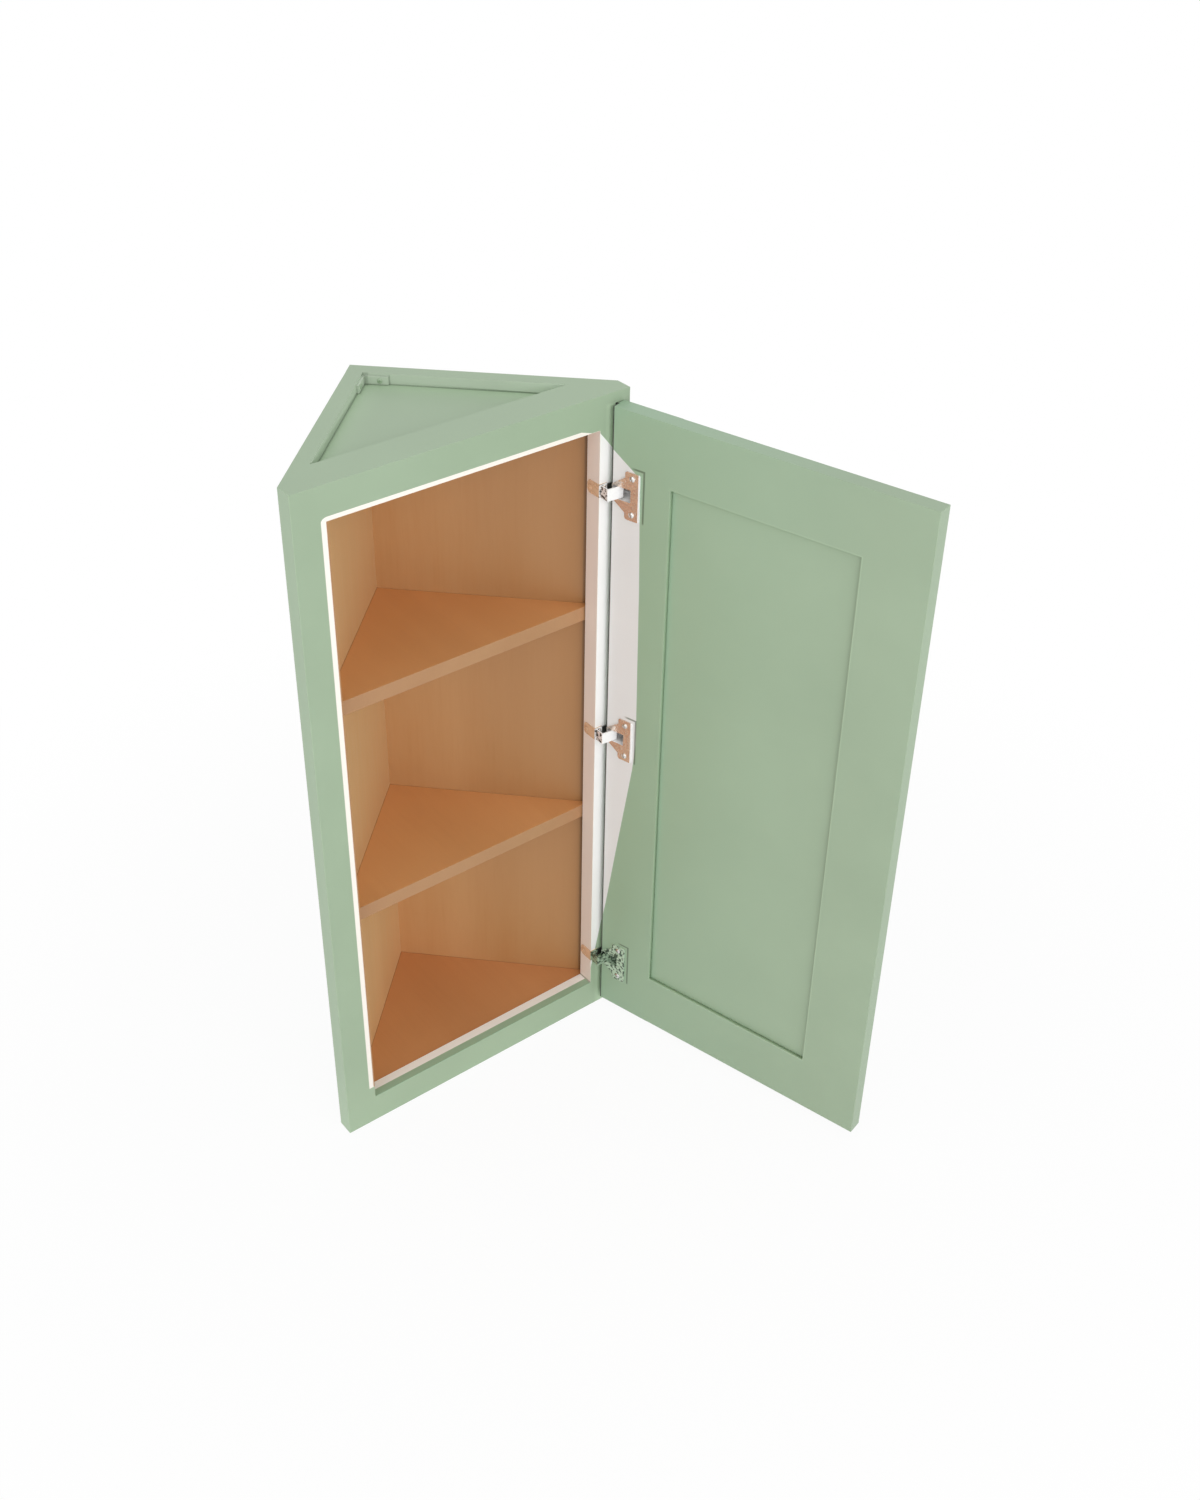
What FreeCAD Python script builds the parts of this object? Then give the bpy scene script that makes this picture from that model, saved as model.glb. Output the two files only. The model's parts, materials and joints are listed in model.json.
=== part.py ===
import FreeCAD, Part
import os
import re
import Sketcher

doc = FreeCAD.newDocument("angled_end_wall_cabinet")
sizes = doc.addObject("Spreadsheet::Sheet", "Sizes")

# Driving dimensions, in millimetres and degrees
driving = {
    # Box
    "cabinet_height": 914.4,
    "cabinet_leg": 304.8,
    "board_thickness": 19.0,
    "dado_depth": 6.0,
    "top_recess": 13.0,
    "floor_lip": 1.5,
    "upper_shelf_height": 635.0,
    "lower_shelf_height": 336.0,
    "shelf_setback": 2.0,
    "cleat_width": 24.5,
    # Face frame
    "frame_thickness": 22.2,
    "frame_stile_width": 41.3,
    "frame_rail_width": 41.3,
    # Dowels and box screws
    "dowel_diameter": 8.0,
    "dowel_end_gap": 0.5,
    "rail_dowel_inset": 11.0,
    "frame_dowel_length": 40.0,
    "carcass_dowel_length": 24.0,
    "carcass_dowel_spread": 110.0,
    "box_screw_diameter": 4.0,
    "box_screw_head": 8.0,
    "box_screw_length": 50.0,
    "box_screw_inset": 110.0,
    "box_screw_low_rise": 400.0,
    "box_screw_high_rise": 560.0,
    # Corner brace
    "brace_leg": 30.0,
    "brace_thickness": 2.5,
    "brace_drop": 3.0,
    "brace_screw_diameter": 3.0,
    "brace_screw_head": 6.0,
    "brace_screw_length": 14.0,
    # Door
    "door_thickness": 20.0,
    "side_reveal": 16.0,
    "end_reveal": 12.7,
    "door_stile_width": 80.0,
    "door_rail_width": 79.0,
    "panel_thickness": 6.4,
    "panel_recess": 5.0,
    "groove_depth": 10.0,
    "panel_float": 1.0,
    "door_clearance": 0.5,
    "open_angle": 105.0,
    "open_clearance": 0.75,
    # Hinge pin and cup
    "bottom_hinge_rise": 92.0,
    "middle_hinge_rise": 463.0,
    "top_hinge_drop": 115.4,
    "pin_edge_distance": 5.0,
    "pin_diameter": 2.5,
    "pin_running_clearance": 0.05,
    "pin_seat": 0.8,
    "cup_diameter": 35.0,
    "cup_edge_wall": 3.0,
    "cup_wall": 0.7,
    "cup_side_wall": 1.2,
    "cup_floor": 0.8,
    "cup_fit": 0.1,
    "flange_thickness": 1.5,
    "ear_margin": 7.5,
    "ear_height": 8.0,
    "ear_start": 1.0,
    "ear_length": 20.0,
    "ear_radius": 3.0,
    "slot_clearance": 0.4,
    "slot_end_clearance": 0.8,
    "slot_floor_clearance": 1.4,
    "slot_reach": 8.8,
    "spring_thickness": 0.5,
    "spring_width": 8.0,
    # Hinge arm and bracket
    "knuckle_radius": 2.2,
    "arm_height": 15.0,
    "arm_thickness": 1.6,
    "arm_inset": 0.3,
    "arm_rise": 8.1,
    "arm_slant": 2.0,
    "arm_bend_radius": 2.0,
    "bracket_thickness": 1.2,
    "bracket_height": 16.0,
    "bracket_front_leg": 10.3,
    "bracket_back_margin": 2.2,
    "bracket_corner": 5.0,
    "foot_length": 9.0,
    "rivet_diameter": 1.6,
    "rivet_head": 2.8,
    "rivet_head_height": 0.6,
    "rivet_spread": 5.4,
    # Hinge screws
    "screw_hole_clearance": 0.2,
    "screw_tip_length": 3.0,
    "cup_screw_diameter": 3.5,
    "cup_screw_head": 7.0,
    "cup_screw_length": 14.0,
    "cup_screw_spacing": 45.0,
    "cup_screw_offset": 9.5,
    "frame_screw_diameter": 3.5,
    "frame_screw_head": 7.0,
    "frame_screw_length": 24.0,
    "frame_screw_setback": 8.0,
    "adjuster_diameter": 3.0,
    "adjuster_head": 6.0,
    "adjuster_length": 9.0,
}
for row, (alias, number) in enumerate(driving.items(), start=1):
    sizes.set(f"A{row}", alias)
    sizes.set(f"B{row}", str(number))
    sizes.setAlias(f"B{row}", alias)
doc.recompute()

# Lengths that follow from the driving dimensions
derived = {
    "face_length": "cabinet_leg * sqrt(2)",
    "floor_height": "frame_rail_width - floor_lip",
    "roof_height": "cabinet_height - top_recess",
    "dado_reach": "board_thickness - dado_depth",
    "dado_diagonal": "dado_reach * sqrt(2)",
    "board_diagonal": "board_thickness * sqrt(2)",
    "brace_height": "top_recess - brace_drop",
    "brace_screw_place": "board_thickness + brace_leg * 2 / 3",
    "door_gap": "bracket_thickness + flange_thickness + door_clearance",
    "door_width": "face_length - 2 * side_reveal",
    "door_height": "cabinet_height - 2 * end_reveal",
    "top_hinge_rise": "cabinet_height - top_hinge_drop",
    "swing_sine": "sin(open_angle * 1 deg)",
    "swing_cosine": "cos(open_angle * 1 deg)",
    # The open door's outer arris stays in front of the frame by open_clearance
    "pin_depth": "(open_clearance - door_gap + pin_edge_distance * swing_sine"
                 " - door_thickness * swing_cosine) / (1 - swing_cosine)",
    "pin_along": "side_reveal + pin_edge_distance",
    "pin_out": "frame_thickness + door_gap + pin_depth",
    "bracket_face": "frame_stile_width + bracket_thickness",
    "arm_side": "frame_stile_width - arm_inset",
    "arm_depth": "pin_depth + arm_rise",
    "arm_crown": "frame_thickness + door_gap + arm_depth",
    "arm_shoulder": "arm_crown - arm_slant",
    "foot_base": "frame_thickness + bracket_thickness",
    "foot_top": "foot_base + arm_thickness",
    "foot_tip": "arm_side - foot_length",
    "slot_start": "pin_edge_distance - knuckle_radius - slot_clearance",
    # The slot clears the arm's foot and shoulder, whichever swings wider round the pin
    "arm_sweep": "max(pin_out - foot_base; arm_rise - arm_slant)",
    "slot_end": "pin_edge_distance + sqrt((arm_side - pin_along)^2 + arm_sweep^2)"
                " + slot_end_clearance",
    "slot_half": "arm_height / 2 + slot_clearance",
    "slot_depth": "arm_depth + slot_floor_clearance",
    "lobe_start": "slot_start - cup_wall",
    "lobe_half": "slot_half + cup_side_wall",
    "cup_depth": "slot_depth + cup_floor",
    "cup_centre": "max(cup_diameter / 2 + cup_edge_wall; slot_end - slot_reach)",
    "ear_near": "cup_centre - ear_start",
    "ear_far": "cup_centre - ear_start + ear_length",
    "ear_top": "cup_screw_spacing / 2 + ear_margin",
    "waist_half": "ear_top - ear_height",
    "cup_screw_place": "cup_centre + cup_screw_offset",
    "adjuster_place": "arm_side - arm_thickness - (foot_length - arm_thickness) / 2",
    "cup_screw_rise": "cup_screw_head * 0.28",
    "frame_screw_rise": "frame_screw_head * 0.28",
    "adjuster_rise": "adjuster_head * 0.2",
    "brace_screw_rise": "brace_screw_head * 0.28",
}


# Expression text with every named length tied to the spreadsheet
def linked(text):
    def swap(found):
        word = found.group(0)
        if word in derived:
            return "(" + linked(derived[word]) + ")"
        if word in driving:
            return "Sizes." + word
        return word

    return re.sub(r"[A-Za-z_]\w*", swap, text)


def value(text):
    return float(sizes.evalExpression(linked(text)))


turns = {
    "x": FreeCAD.Rotation(FreeCAD.Vector(0, 1, 0), 90),
    "-x": FreeCAD.Rotation(FreeCAD.Vector(0, 1, 0), -90),
    "y": FreeCAD.Rotation(FreeCAD.Vector(1, 0, 0), -90),
    "-y": FreeCAD.Rotation(FreeCAD.Vector(1, 0, 0), 90),
    "z": FreeCAD.Rotation(),
}


# Local position and direction, by expression
def settle(thing, at, axis="z"):
    thing.Placement = FreeCAD.Placement(FreeCAD.Vector(), turns[axis])
    for key, text in zip("xyz", at):
        thing.setExpression(f"Placement.Base.{key}", linked(text))


# Frame of the face: x along the face from its hinge end, y outward from the frame's back
def on_face(thing, rise="0"):
    thing.Placement = FreeCAD.Placement(
        FreeCAD.Vector(), FreeCAD.Rotation(FreeCAD.Vector(0, 0, 1), -135))
    thing.setExpression("Placement.Base.x", linked("cabinet_leg"))
    thing.setExpression("Placement.Base.z", linked(rise))


# Frame of the open door: x from its hinge edge, y from its inner face towards its outer face
def on_door(thing, rise="0"):
    turned = "((open_angle - 135) * 1 deg)"
    reach = "(pin_out - pin_along) * sqrt(0.5)"
    spread = "(pin_out + pin_along) * sqrt(0.5)"
    thing.Placement = FreeCAD.Placement(
        FreeCAD.Vector(), FreeCAD.Rotation(FreeCAD.Vector(0, 0, 1), -30))
    thing.setExpression("Placement.Base.x", linked(
        f"cabinet_leg + {reach} - pin_edge_distance * cos{turned} + pin_depth * sin{turned}"))
    thing.setExpression("Placement.Base.y", linked(
        f"-{spread} - pin_edge_distance * sin{turned} - pin_depth * cos{turned}"))
    thing.setExpression("Placement.Base.z", linked(rise))
    thing.setExpression("Placement.Rotation.Angle", linked("(open_angle - 135) * 1 deg"))


nodes = {}


def new_body(label, listed=True):
    body = doc.addObject("PartDesign::Body", label)
    body.Label = label
    if listed:
        nodes[label] = body
    return body


def new_solid(kind, label):
    thing = doc.addObject(kind, label)
    thing.Label = label
    nodes[label] = thing
    return thing


def sketch_on(body, name, plane, rise):
    sketch = body.newObject("Sketcher::SketchObject", name)
    support = [item for item in body.Origin.OriginFeatures if item.Role == plane]
    sketch.AttachmentSupport = [(support[0], "")]
    sketch.MapMode = "FlatFace"
    sketch.setExpression("AttachmentOffset.Base.z", linked(rise))
    return sketch


# Closed outline whose every corner is tied to the spreadsheet
def outline(body, name, corners, plane="XY_Plane", rise="0"):
    sketch = sketch_on(body, name, plane, rise)
    spots = [FreeCAD.Vector(value(across), value(up), 0) for across, up in corners]
    count = len(spots)
    for index in range(count):
        sketch.addGeometry(Part.LineSegment(spots[index], spots[(index + 1) % count]))
    for index in range(count):
        sketch.addConstraint(
            Sketcher.Constraint("Coincident", index, 2, (index + 1) % count, 1))
    for index, (across, up) in enumerate(corners):
        spot = spots[index]
        for kind, text, number in (("DistanceX", across, spot.x), ("DistanceY", up, spot.y)):
            place = sketch.addConstraint(Sketcher.Constraint(kind, -1, 1, index, 1, number))
            sketch.setExpression(f"Constraints[{place}]", linked(text))
    return sketch


def pad(body, sketch, length):
    feature = body.newObject("PartDesign::Pad", sketch.Name + "_pad")
    feature.Profile = sketch
    feature.setExpression("Length", linked(length))
    return feature


def box(body, kind, name, at, size):
    feature = body.newObject("PartDesign::" + kind + "Box", name)
    settle(feature, at)
    for key, text in zip(("Length", "Width", "Height"), size):
        feature.setExpression(key, linked(text))
    return feature


def rod(body, kind, name, at, axis, radius, length):
    feature = body.newObject("PartDesign::" + kind + "Cylinder", name)
    settle(feature, at, axis)
    feature.setExpression("Radius", linked(radius))
    feature.setExpression("Height", linked(length))
    return feature


# Rounding of the straight edges that pass through the given spots of one local plane
def rounded(body, feature, spots, radius, flat=("x", "y")):
    doc.recompute()
    chosen = []
    for index, edge in enumerate(feature.Shape.Edges, start=1):
        if len(edge.Vertexes) != 2:
            continue
        ends = [vertex.Point for vertex in edge.Vertexes]
        for across, up in spots:
            miss = max(abs(getattr(end, flat[0]) - value(across))
                       + abs(getattr(end, flat[1]) - value(up)) for end in ends)
            if miss < 0.01:
                chosen.append(f"Edge{index}")
    fillet = body.newObject("PartDesign::Fillet", feature.Name + "_round")
    fillet.Base = (feature, chosen)
    fillet.setExpression("Radius", linked(radius))
    return fillet


# Back and side panels, mitred to the face, with grooves for the boards
back_panel = new_body("back_panel")
pad(back_panel, outline(back_panel, "back_plan", [
    ("0", "0"),
    ("cabinet_leg", "0"),
    ("cabinet_leg - board_thickness", "-board_thickness"),
    ("0", "-board_thickness"),
]), "cabinet_height")
side_panel = new_body("side_panel")
pad(side_panel, outline(side_panel, "side_plan", [
    ("0", "-board_thickness"),
    ("board_thickness", "-board_thickness"),
    ("board_thickness", "board_thickness - cabinet_leg"),
    ("0", "-cabinet_leg"),
]), "cabinet_height")

board_tops = {
    "top_panel": "roof_height",
    "upper_shelf": "upper_shelf_height",
    "lower_shelf": "lower_shelf_height",
    "bottom_panel": "floor_height",
}
for label, level in board_tops.items():
    under = f"{level} - board_thickness"
    box(back_panel, "Subtractive", "back_groove_" + label,
        ("dado_reach", "-board_thickness", under),
        ("cabinet_leg", "dado_depth", "board_thickness"))
    box(side_panel, "Subtractive", "side_groove_" + label,
        ("dado_reach", "-cabinet_leg", under),
        ("dado_depth", "cabinet_leg", "board_thickness"))

# Three-cornered boards, long edge on the back of the face frame, the shelves set back from it
boards = {}
for label, level in board_tops.items():
    setback = "shelf_setback" if label.endswith("shelf") else "0"
    board = new_body(label)
    pad(board, outline(board, label + "_plan", [
        (f"dado_diagonal + {setback}", f"-{setback}"),
        ("face_length / 2", "dado_diagonal - face_length / 2"),
        (f"face_length - dado_diagonal - {setback}", f"-{setback}"),
    ]), "board_thickness")
    on_face(board, f"{level} - board_thickness")
    boards[label] = board

top_cleat = new_body("top_cleat")
pad(top_cleat, outline(top_cleat, "cleat_plan", [
    ("board_diagonal", "0"),
    ("board_diagonal + cleat_width", "-cleat_width"),
    ("face_length - board_diagonal - cleat_width", "-cleat_width"),
    ("face_length - board_diagonal", "0"),
]), "top_recess")
on_face(top_cleat, "roof_height")

# Face frame
frame_members = {
    "frame_hinge_stile": (
        ("0", "0", "0"),
        ("frame_stile_width", "frame_thickness", "cabinet_height")),
    "frame_latch_stile": (
        ("face_length - frame_stile_width", "0", "0"),
        ("frame_stile_width", "frame_thickness", "cabinet_height")),
    "frame_bottom_rail": (
        ("frame_stile_width", "0", "0"),
        ("face_length - 2 * frame_stile_width", "frame_thickness", "frame_rail_width")),
    "frame_top_rail": (
        ("frame_stile_width", "0", "cabinet_height - frame_rail_width"),
        ("face_length - 2 * frame_stile_width", "frame_thickness", "frame_rail_width")),
}
frame = {}
for label, (corner, size) in frame_members.items():
    member = new_body(label)
    box(member, "Additive", label + "_blank", corner, size)
    on_face(member)
    frame[label] = member

# Dowels from the rails into the stiles
frame_dowels = []
half_dowel = "(frame_dowel_length / 2 + dowel_end_gap)"
for stile, joint in (("frame_hinge_stile", "frame_stile_width"),
                     ("frame_latch_stile", "(face_length - frame_stile_width)")):
    for rail, foot in (("frame_bottom_rail", "0"),
                       ("frame_top_rail", "cabinet_height - frame_rail_width")):
        for key, lift in (("low", "rail_dowel_inset"),
                          ("high", "frame_rail_width - rail_dowel_inset")):
            level = f"{foot} + {lift}"
            tag = f"{stile}_{rail}_{key}"
            start = (f"{joint} - {half_dowel}", "frame_thickness / 2", level)
            for member in (stile, rail):
                rod(frame[member], "Subtractive", f"{member}_hole_{tag}", start, "x",
                    "dowel_diameter / 2", f"2 * {half_dowel}")
            dowel = doc.addObject("Part::Cylinder", "dowel_" + tag)
            settle(dowel, (f"{joint} - frame_dowel_length / 2", start[1], level), "x")
            dowel.setExpression("Radius", linked("dowel_diameter / 2"))
            dowel.setExpression("Height", linked("frame_dowel_length"))
            frame_dowels.append(dowel)
group = new_solid("Part::Compound", "frame_dowels")
group.Links = frame_dowels
on_face(group)

# Dowels from the rails into the top and bottom panels
carcass_dowels = []
reach = "(carcass_dowel_length / 2 + dowel_end_gap)"
for rail, board in (("frame_bottom_rail", "bottom_panel"), ("frame_top_rail", "top_panel")):
    level = f"{board_tops[board]} - board_thickness / 2"
    for index in (-1, 0, 1):
        across = f"face_length / 2 + {index} * carcass_dowel_spread"
        tag = f"{board}_{index + 2}"
        rod(frame[rail], "Subtractive", f"{rail}_hole_{tag}",
            (across, f"-{reach}", level), "y", "dowel_diameter / 2", f"2 * {reach}")
        rod(boards[board], "Subtractive", f"{board}_hole_{tag}",
            (across, f"-{reach}", "board_thickness / 2"), "y",
            "dowel_diameter / 2", f"2 * {reach}")
        dowel = doc.addObject("Part::Cylinder", "dowel_" + tag)
        settle(dowel, (across, "-carcass_dowel_length / 2", level), "y")
        dowel.setExpression("Radius", linked("dowel_diameter / 2"))
        dowel.setExpression("Height", linked("carcass_dowel_length"))
        carcass_dowels.append(dowel)
group = new_solid("Part::Compound", "carcass_dowels")
group.Links = carcass_dowels
on_face(group)


# Screw along its own z axis, seated at z = 0, with a cross recess
def screw_body(name, section, head, top):
    body = new_body(name, listed=False)
    sketch = outline(body, name + "_section", section, "XZ_Plane")
    turn = body.newObject("PartDesign::Revolution", name + "_turned")
    turn.Profile = sketch
    turn.ReferenceAxis = (sketch, ["V_Axis"])
    turn.Angle = 360
    wide = f"{head} * 0.52"
    slim = f"{head} * 0.13"
    for key, across, along in (("first", wide, slim), ("second", slim, wide)):
        box(body, "Subtractive", f"{name}_{key}_recess",
            (f"-({across}) / 2", f"-({along}) / 2", f"-({top})"),
            (across, along, f"{head} * 0.14"))
    return body


def pan_head(kind, rise):
    return [
        ("0", f"-{rise}"),
        (f"{kind}_head * 0.34", f"-{rise}"),
        (f"{kind}_head / 2", f"-{rise} * 0.4"),
        (f"{kind}_head / 2", "0"),
        (f"{kind}_diameter / 2", "0"),
        (f"{kind}_diameter / 2", f"{kind}_length - screw_tip_length"),
        ("0", f"{kind}_length"),
    ]


box_screw = screw_body("box_screw", [
    ("0", "0"),
    ("box_screw_head / 2", "0"),
    ("box_screw_diameter / 2", "(box_screw_head - box_screw_diameter) / 2"),
    ("box_screw_diameter / 2", "box_screw_length - screw_tip_length"),
    ("0", "box_screw_length"),
], "box_screw_head", "0")
brace_screw = screw_body(
    "brace_screw", pan_head("brace_screw", "brace_screw_rise"), "brace_screw_head", "brace_screw_rise")
cup_screw = screw_body(
    "cup_screw", pan_head("cup_screw", "cup_screw_rise"), "cup_screw_head", "cup_screw_rise")
frame_screw = screw_body(
    "frame_screw", pan_head("frame_screw", "frame_screw_rise"), "frame_screw_head", "frame_screw_rise")
adjuster = screw_body(
    "adjuster", pan_head("adjuster", "adjuster_rise"), "adjuster_head", "adjuster_rise")


# One node of identical screws, each a linked copy
def screw_set(label, screw, seats):
    copies = []
    for index, (at, axis) in enumerate(seats, start=1):
        copy = doc.addObject("App::Link", f"{label}_{index}")
        copy.LinkedObject = screw
        settle(copy, at, axis)
        copies.append(copy)
    group = new_solid("Part::Compound", label)
    group.Links = copies
    return group


# Bore that a screw's shank fills
def pilot(body, name, at, axis, kind):
    rod(body, "Subtractive", name, at, axis, f"{kind}_diameter / 2", f"{kind}_length")


# Screws through the back panel into the side panel's rear edge
screw_levels = [
    "box_screw_inset",
    "box_screw_low_rise",
    "box_screw_high_rise",
    "cabinet_height - box_screw_inset",
]
seats = []
for index, level in enumerate(screw_levels, start=1):
    at = ("board_thickness / 2", "0", level)
    seats.append((at, "-y"))
    pilot(back_panel, f"back_screw_hole_{index}", at, "-y", "box_screw")
    sink = back_panel.newObject("PartDesign::SubtractiveCone", f"back_screw_sink_{index}")
    settle(sink, at, "-y")
    sink.setExpression("Radius1", linked("box_screw_head / 2"))
    sink.setExpression("Radius2", linked("box_screw_diameter / 2"))
    sink.setExpression("Height", linked("(box_screw_head - box_screw_diameter) / 2"))
    pilot(side_panel, f"side_screw_hole_{index}", at, "-y", "box_screw")
screw_set("carcass_screws", box_screw, seats)

# Corner brace on top of the top panel
corner_brace = new_body("corner_brace")
inner = "board_thickness"
tip = "board_thickness + brace_leg"
skin = "board_thickness + brace_thickness"
pad(corner_brace, outline(corner_brace, "brace_plan", [
    (inner, f"-({inner})"),
    (tip, f"-({inner})"),
    (tip, f"-({skin})"),
    (skin, f"-({skin})"),
    (skin, f"-({tip})"),
    (inner, f"-({tip})"),
], rise="roof_height"), "brace_height")
brace_level = "roof_height + brace_height / 2"
brace_seats = [
    (("brace_screw_place", f"-({skin})", brace_level), "y"),
    ((skin, "-(brace_screw_place)", brace_level), "-x"),
]
for index, ((at, axis), panel) in enumerate(zip(brace_seats, (back_panel, side_panel)), start=1):
    rod(corner_brace, "Subtractive", f"brace_hole_{index}", at, axis,
        "brace_screw_diameter / 2 + screw_hole_clearance", "brace_thickness")
    pilot(panel, f"brace_pilot_{index}", at, axis, "brace_screw")
screw_set("corner_brace_screws", brace_screw, brace_seats)

# Door frame and panel
rail_length = "door_width - 2 * door_stile_width"
door_top = "cabinet_height - end_reveal"
door_hinge_stile = new_body("door_hinge_stile")
box(door_hinge_stile, "Additive", "door_hinge_stile_blank",
    ("0", "0", "end_reveal"), ("door_stile_width", "door_thickness", "door_height"))
box(door_hinge_stile, "Subtractive", "door_hinge_stile_groove",
    ("door_stile_width - groove_depth", "panel_recess", "end_reveal"),
    ("groove_depth", "panel_thickness", "door_height"))
on_door(door_hinge_stile)
door_latch_stile = new_body("door_latch_stile")
box(door_latch_stile, "Additive", "door_latch_stile_blank",
    ("door_width - door_stile_width", "0", "end_reveal"),
    ("door_stile_width", "door_thickness", "door_height"))
box(door_latch_stile, "Subtractive", "door_latch_stile_groove",
    ("door_width - door_stile_width", "panel_recess", "end_reveal"),
    ("groove_depth", "panel_thickness", "door_height"))
on_door(door_latch_stile)

# Rails with stub tenons in the stile grooves
door_rails = {
    "door_bottom_rail": ("end_reveal", "end_reveal", "end_reveal + door_rail_width - groove_depth"),
    "door_top_rail": (
        f"{door_top} - door_rail_width",
        f"{door_top} - door_rail_width + groove_depth",
        f"{door_top} - door_rail_width"),
}
for label, (foot, tenon_foot, groove_foot) in door_rails.items():
    rail = new_body(label)
    box(rail, "Additive", label + "_blank",
        ("door_stile_width", "0", foot), (rail_length, "door_thickness", "door_rail_width"))
    box(rail, "Additive", label + "_tenons",
        ("door_stile_width - groove_depth", "panel_recess", tenon_foot),
        (f"{rail_length} + 2 * groove_depth", "panel_thickness", "door_rail_width - groove_depth"))
    box(rail, "Subtractive", label + "_groove",
        ("door_stile_width", "panel_recess", groove_foot),
        (rail_length, "panel_thickness", "groove_depth"))
    on_door(rail)

hold = "(groove_depth - panel_float)"
door_panel = new_body("door_panel")
box(door_panel, "Additive", "door_panel_blank",
    (f"door_stile_width - {hold}", "panel_recess", f"end_reveal + door_rail_width - {hold}"),
    (f"{rail_length} + 2 * {hold}", "panel_thickness",
     f"door_height - 2 * door_rail_width + 2 * {hold}"))
on_door(door_panel)

# Hinges: a cup and pin in the door, an arm and bracket on the frame
hinge_levels = {
    "top": "top_hinge_rise",
    "middle": "middle_hinge_rise",
    "bottom": "bottom_hinge_rise",
}
hinge_stile = frame["frame_hinge_stile"]
cup_seats = []
frame_seats = []
adjuster_seats = []
rivets = []
springs = []
for name, level in hinge_levels.items():
    # Room for the cup in the door
    rod(door_hinge_stile, "Subtractive", name + "_cup_room", ("cup_centre", "0", level), "y",
        "cup_diameter / 2 + cup_fit", "cup_depth + cup_fit")
    box(door_hinge_stile, "Subtractive", name + "_lobe_room",
        ("lobe_start - cup_fit", "0", f"{level} - lobe_half - cup_fit"),
        ("cup_centre - lobe_start + cup_fit", "cup_depth + cup_fit", "2 * (lobe_half + cup_fit)"))

    # Cup with its flange on the door's inner face
    cup = new_body(name + "_hinge_cup")
    flange = pad(cup, outline(cup, name + "_flange", [
        ("lobe_start", "-lobe_half"),
        ("ear_near", "-waist_half"),
        ("ear_near", "-ear_top"),
        ("ear_far", "-ear_top"),
        ("ear_far", "ear_top"),
        ("ear_near", "ear_top"),
        ("ear_near", "waist_half"),
        ("lobe_start", "lobe_half"),
    ], "XZ_Plane"), "flange_thickness")
    rounded(cup, flange, [
        ("ear_near", "-ear_top"), ("ear_far", "-ear_top"),
        ("ear_far", "ear_top"), ("ear_near", "ear_top"),
    ], "ear_radius", ("x", "z"))
    rod(cup, "Additive", name + "_boss", ("cup_centre", "0", "0"), "y",
        "cup_diameter / 2", "cup_depth")
    box(cup, "Additive", name + "_lobe", ("lobe_start", "0", "-lobe_half"),
        ("cup_centre - lobe_start", "cup_depth", "2 * lobe_half"))
    box(cup, "Subtractive", name + "_slot", ("slot_start", "-flange_thickness", "-slot_half"),
        ("slot_end - slot_start", "slot_depth + flange_thickness", "2 * slot_half"))
    rod(cup, "Subtractive", name + "_pin_hole",
        ("pin_edge_distance", "pin_depth", "-(slot_half + pin_seat)"), "z",
        "pin_diameter / 2", "2 * (slot_half + pin_seat)")
    on_door(cup, level)
    for key, side in (("upper", "1"), ("lower", "-1")):
        lift = f"{side} * cup_screw_spacing / 2"
        rod(cup, "Subtractive", f"{name}_{key}_screw_hole",
            ("cup_screw_place", "-flange_thickness", lift), "y",
            "cup_screw_diameter / 2 + screw_hole_clearance", "flange_thickness")
        seat = ("cup_screw_place", "-flange_thickness", f"{level} + {lift}")
        pilot(door_hinge_stile, f"{name}_{key}_cup_pilot", seat, "y", "cup_screw")
        cup_seats.append((seat, "y"))

    # Pin across the cup's slot, on the door's turning axis
    pin = new_solid("Part::Cylinder", name + "_hinge_pin")
    settle(pin, ("cabinet_leg + (pin_out - pin_along) * sqrt(0.5)",
                 "-(pin_out + pin_along) * sqrt(0.5)",
                 f"{level} - slot_half - pin_seat"))
    pin.setExpression("Radius", linked("pin_diameter / 2"))
    pin.setExpression("Height", linked("2 * (slot_half + pin_seat)"))

    # Flat spring on the slot's floor
    spring = doc.addObject("Part::Box", name + "_spring")
    settle(spring, ("slot_start + cup_wall", "slot_depth - spring_thickness",
                    f"{level} - spring_width / 2"))
    spring.setExpression("Length", linked("slot_end - slot_start - 2 * cup_wall"))
    spring.setExpression("Width", linked("spring_thickness"))
    spring.setExpression("Height", linked("spring_width"))
    springs.append(spring)

    # Bracket around the hinge stile's inner front arris
    bracket = new_body(name + "_hinge_bracket")
    angle = pad(bracket, outline(bracket, name + "_bracket_plan", [
        ("frame_stile_width", "bracket_back_margin"),
        ("bracket_face", "bracket_back_margin"),
        ("bracket_face", "foot_base"),
        ("frame_stile_width - bracket_front_leg", "foot_base"),
        ("frame_stile_width - bracket_front_leg", "frame_thickness"),
        ("frame_stile_width", "frame_thickness"),
    ], rise="-bracket_height / 2"), "bracket_height")
    rounded(bracket, angle, [
        ("bracket_back_margin", "-bracket_height / 2"),
        ("bracket_back_margin", "bracket_height / 2"),
    ], "bracket_corner", ("y", "z"))
    on_face(bracket, level)

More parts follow.
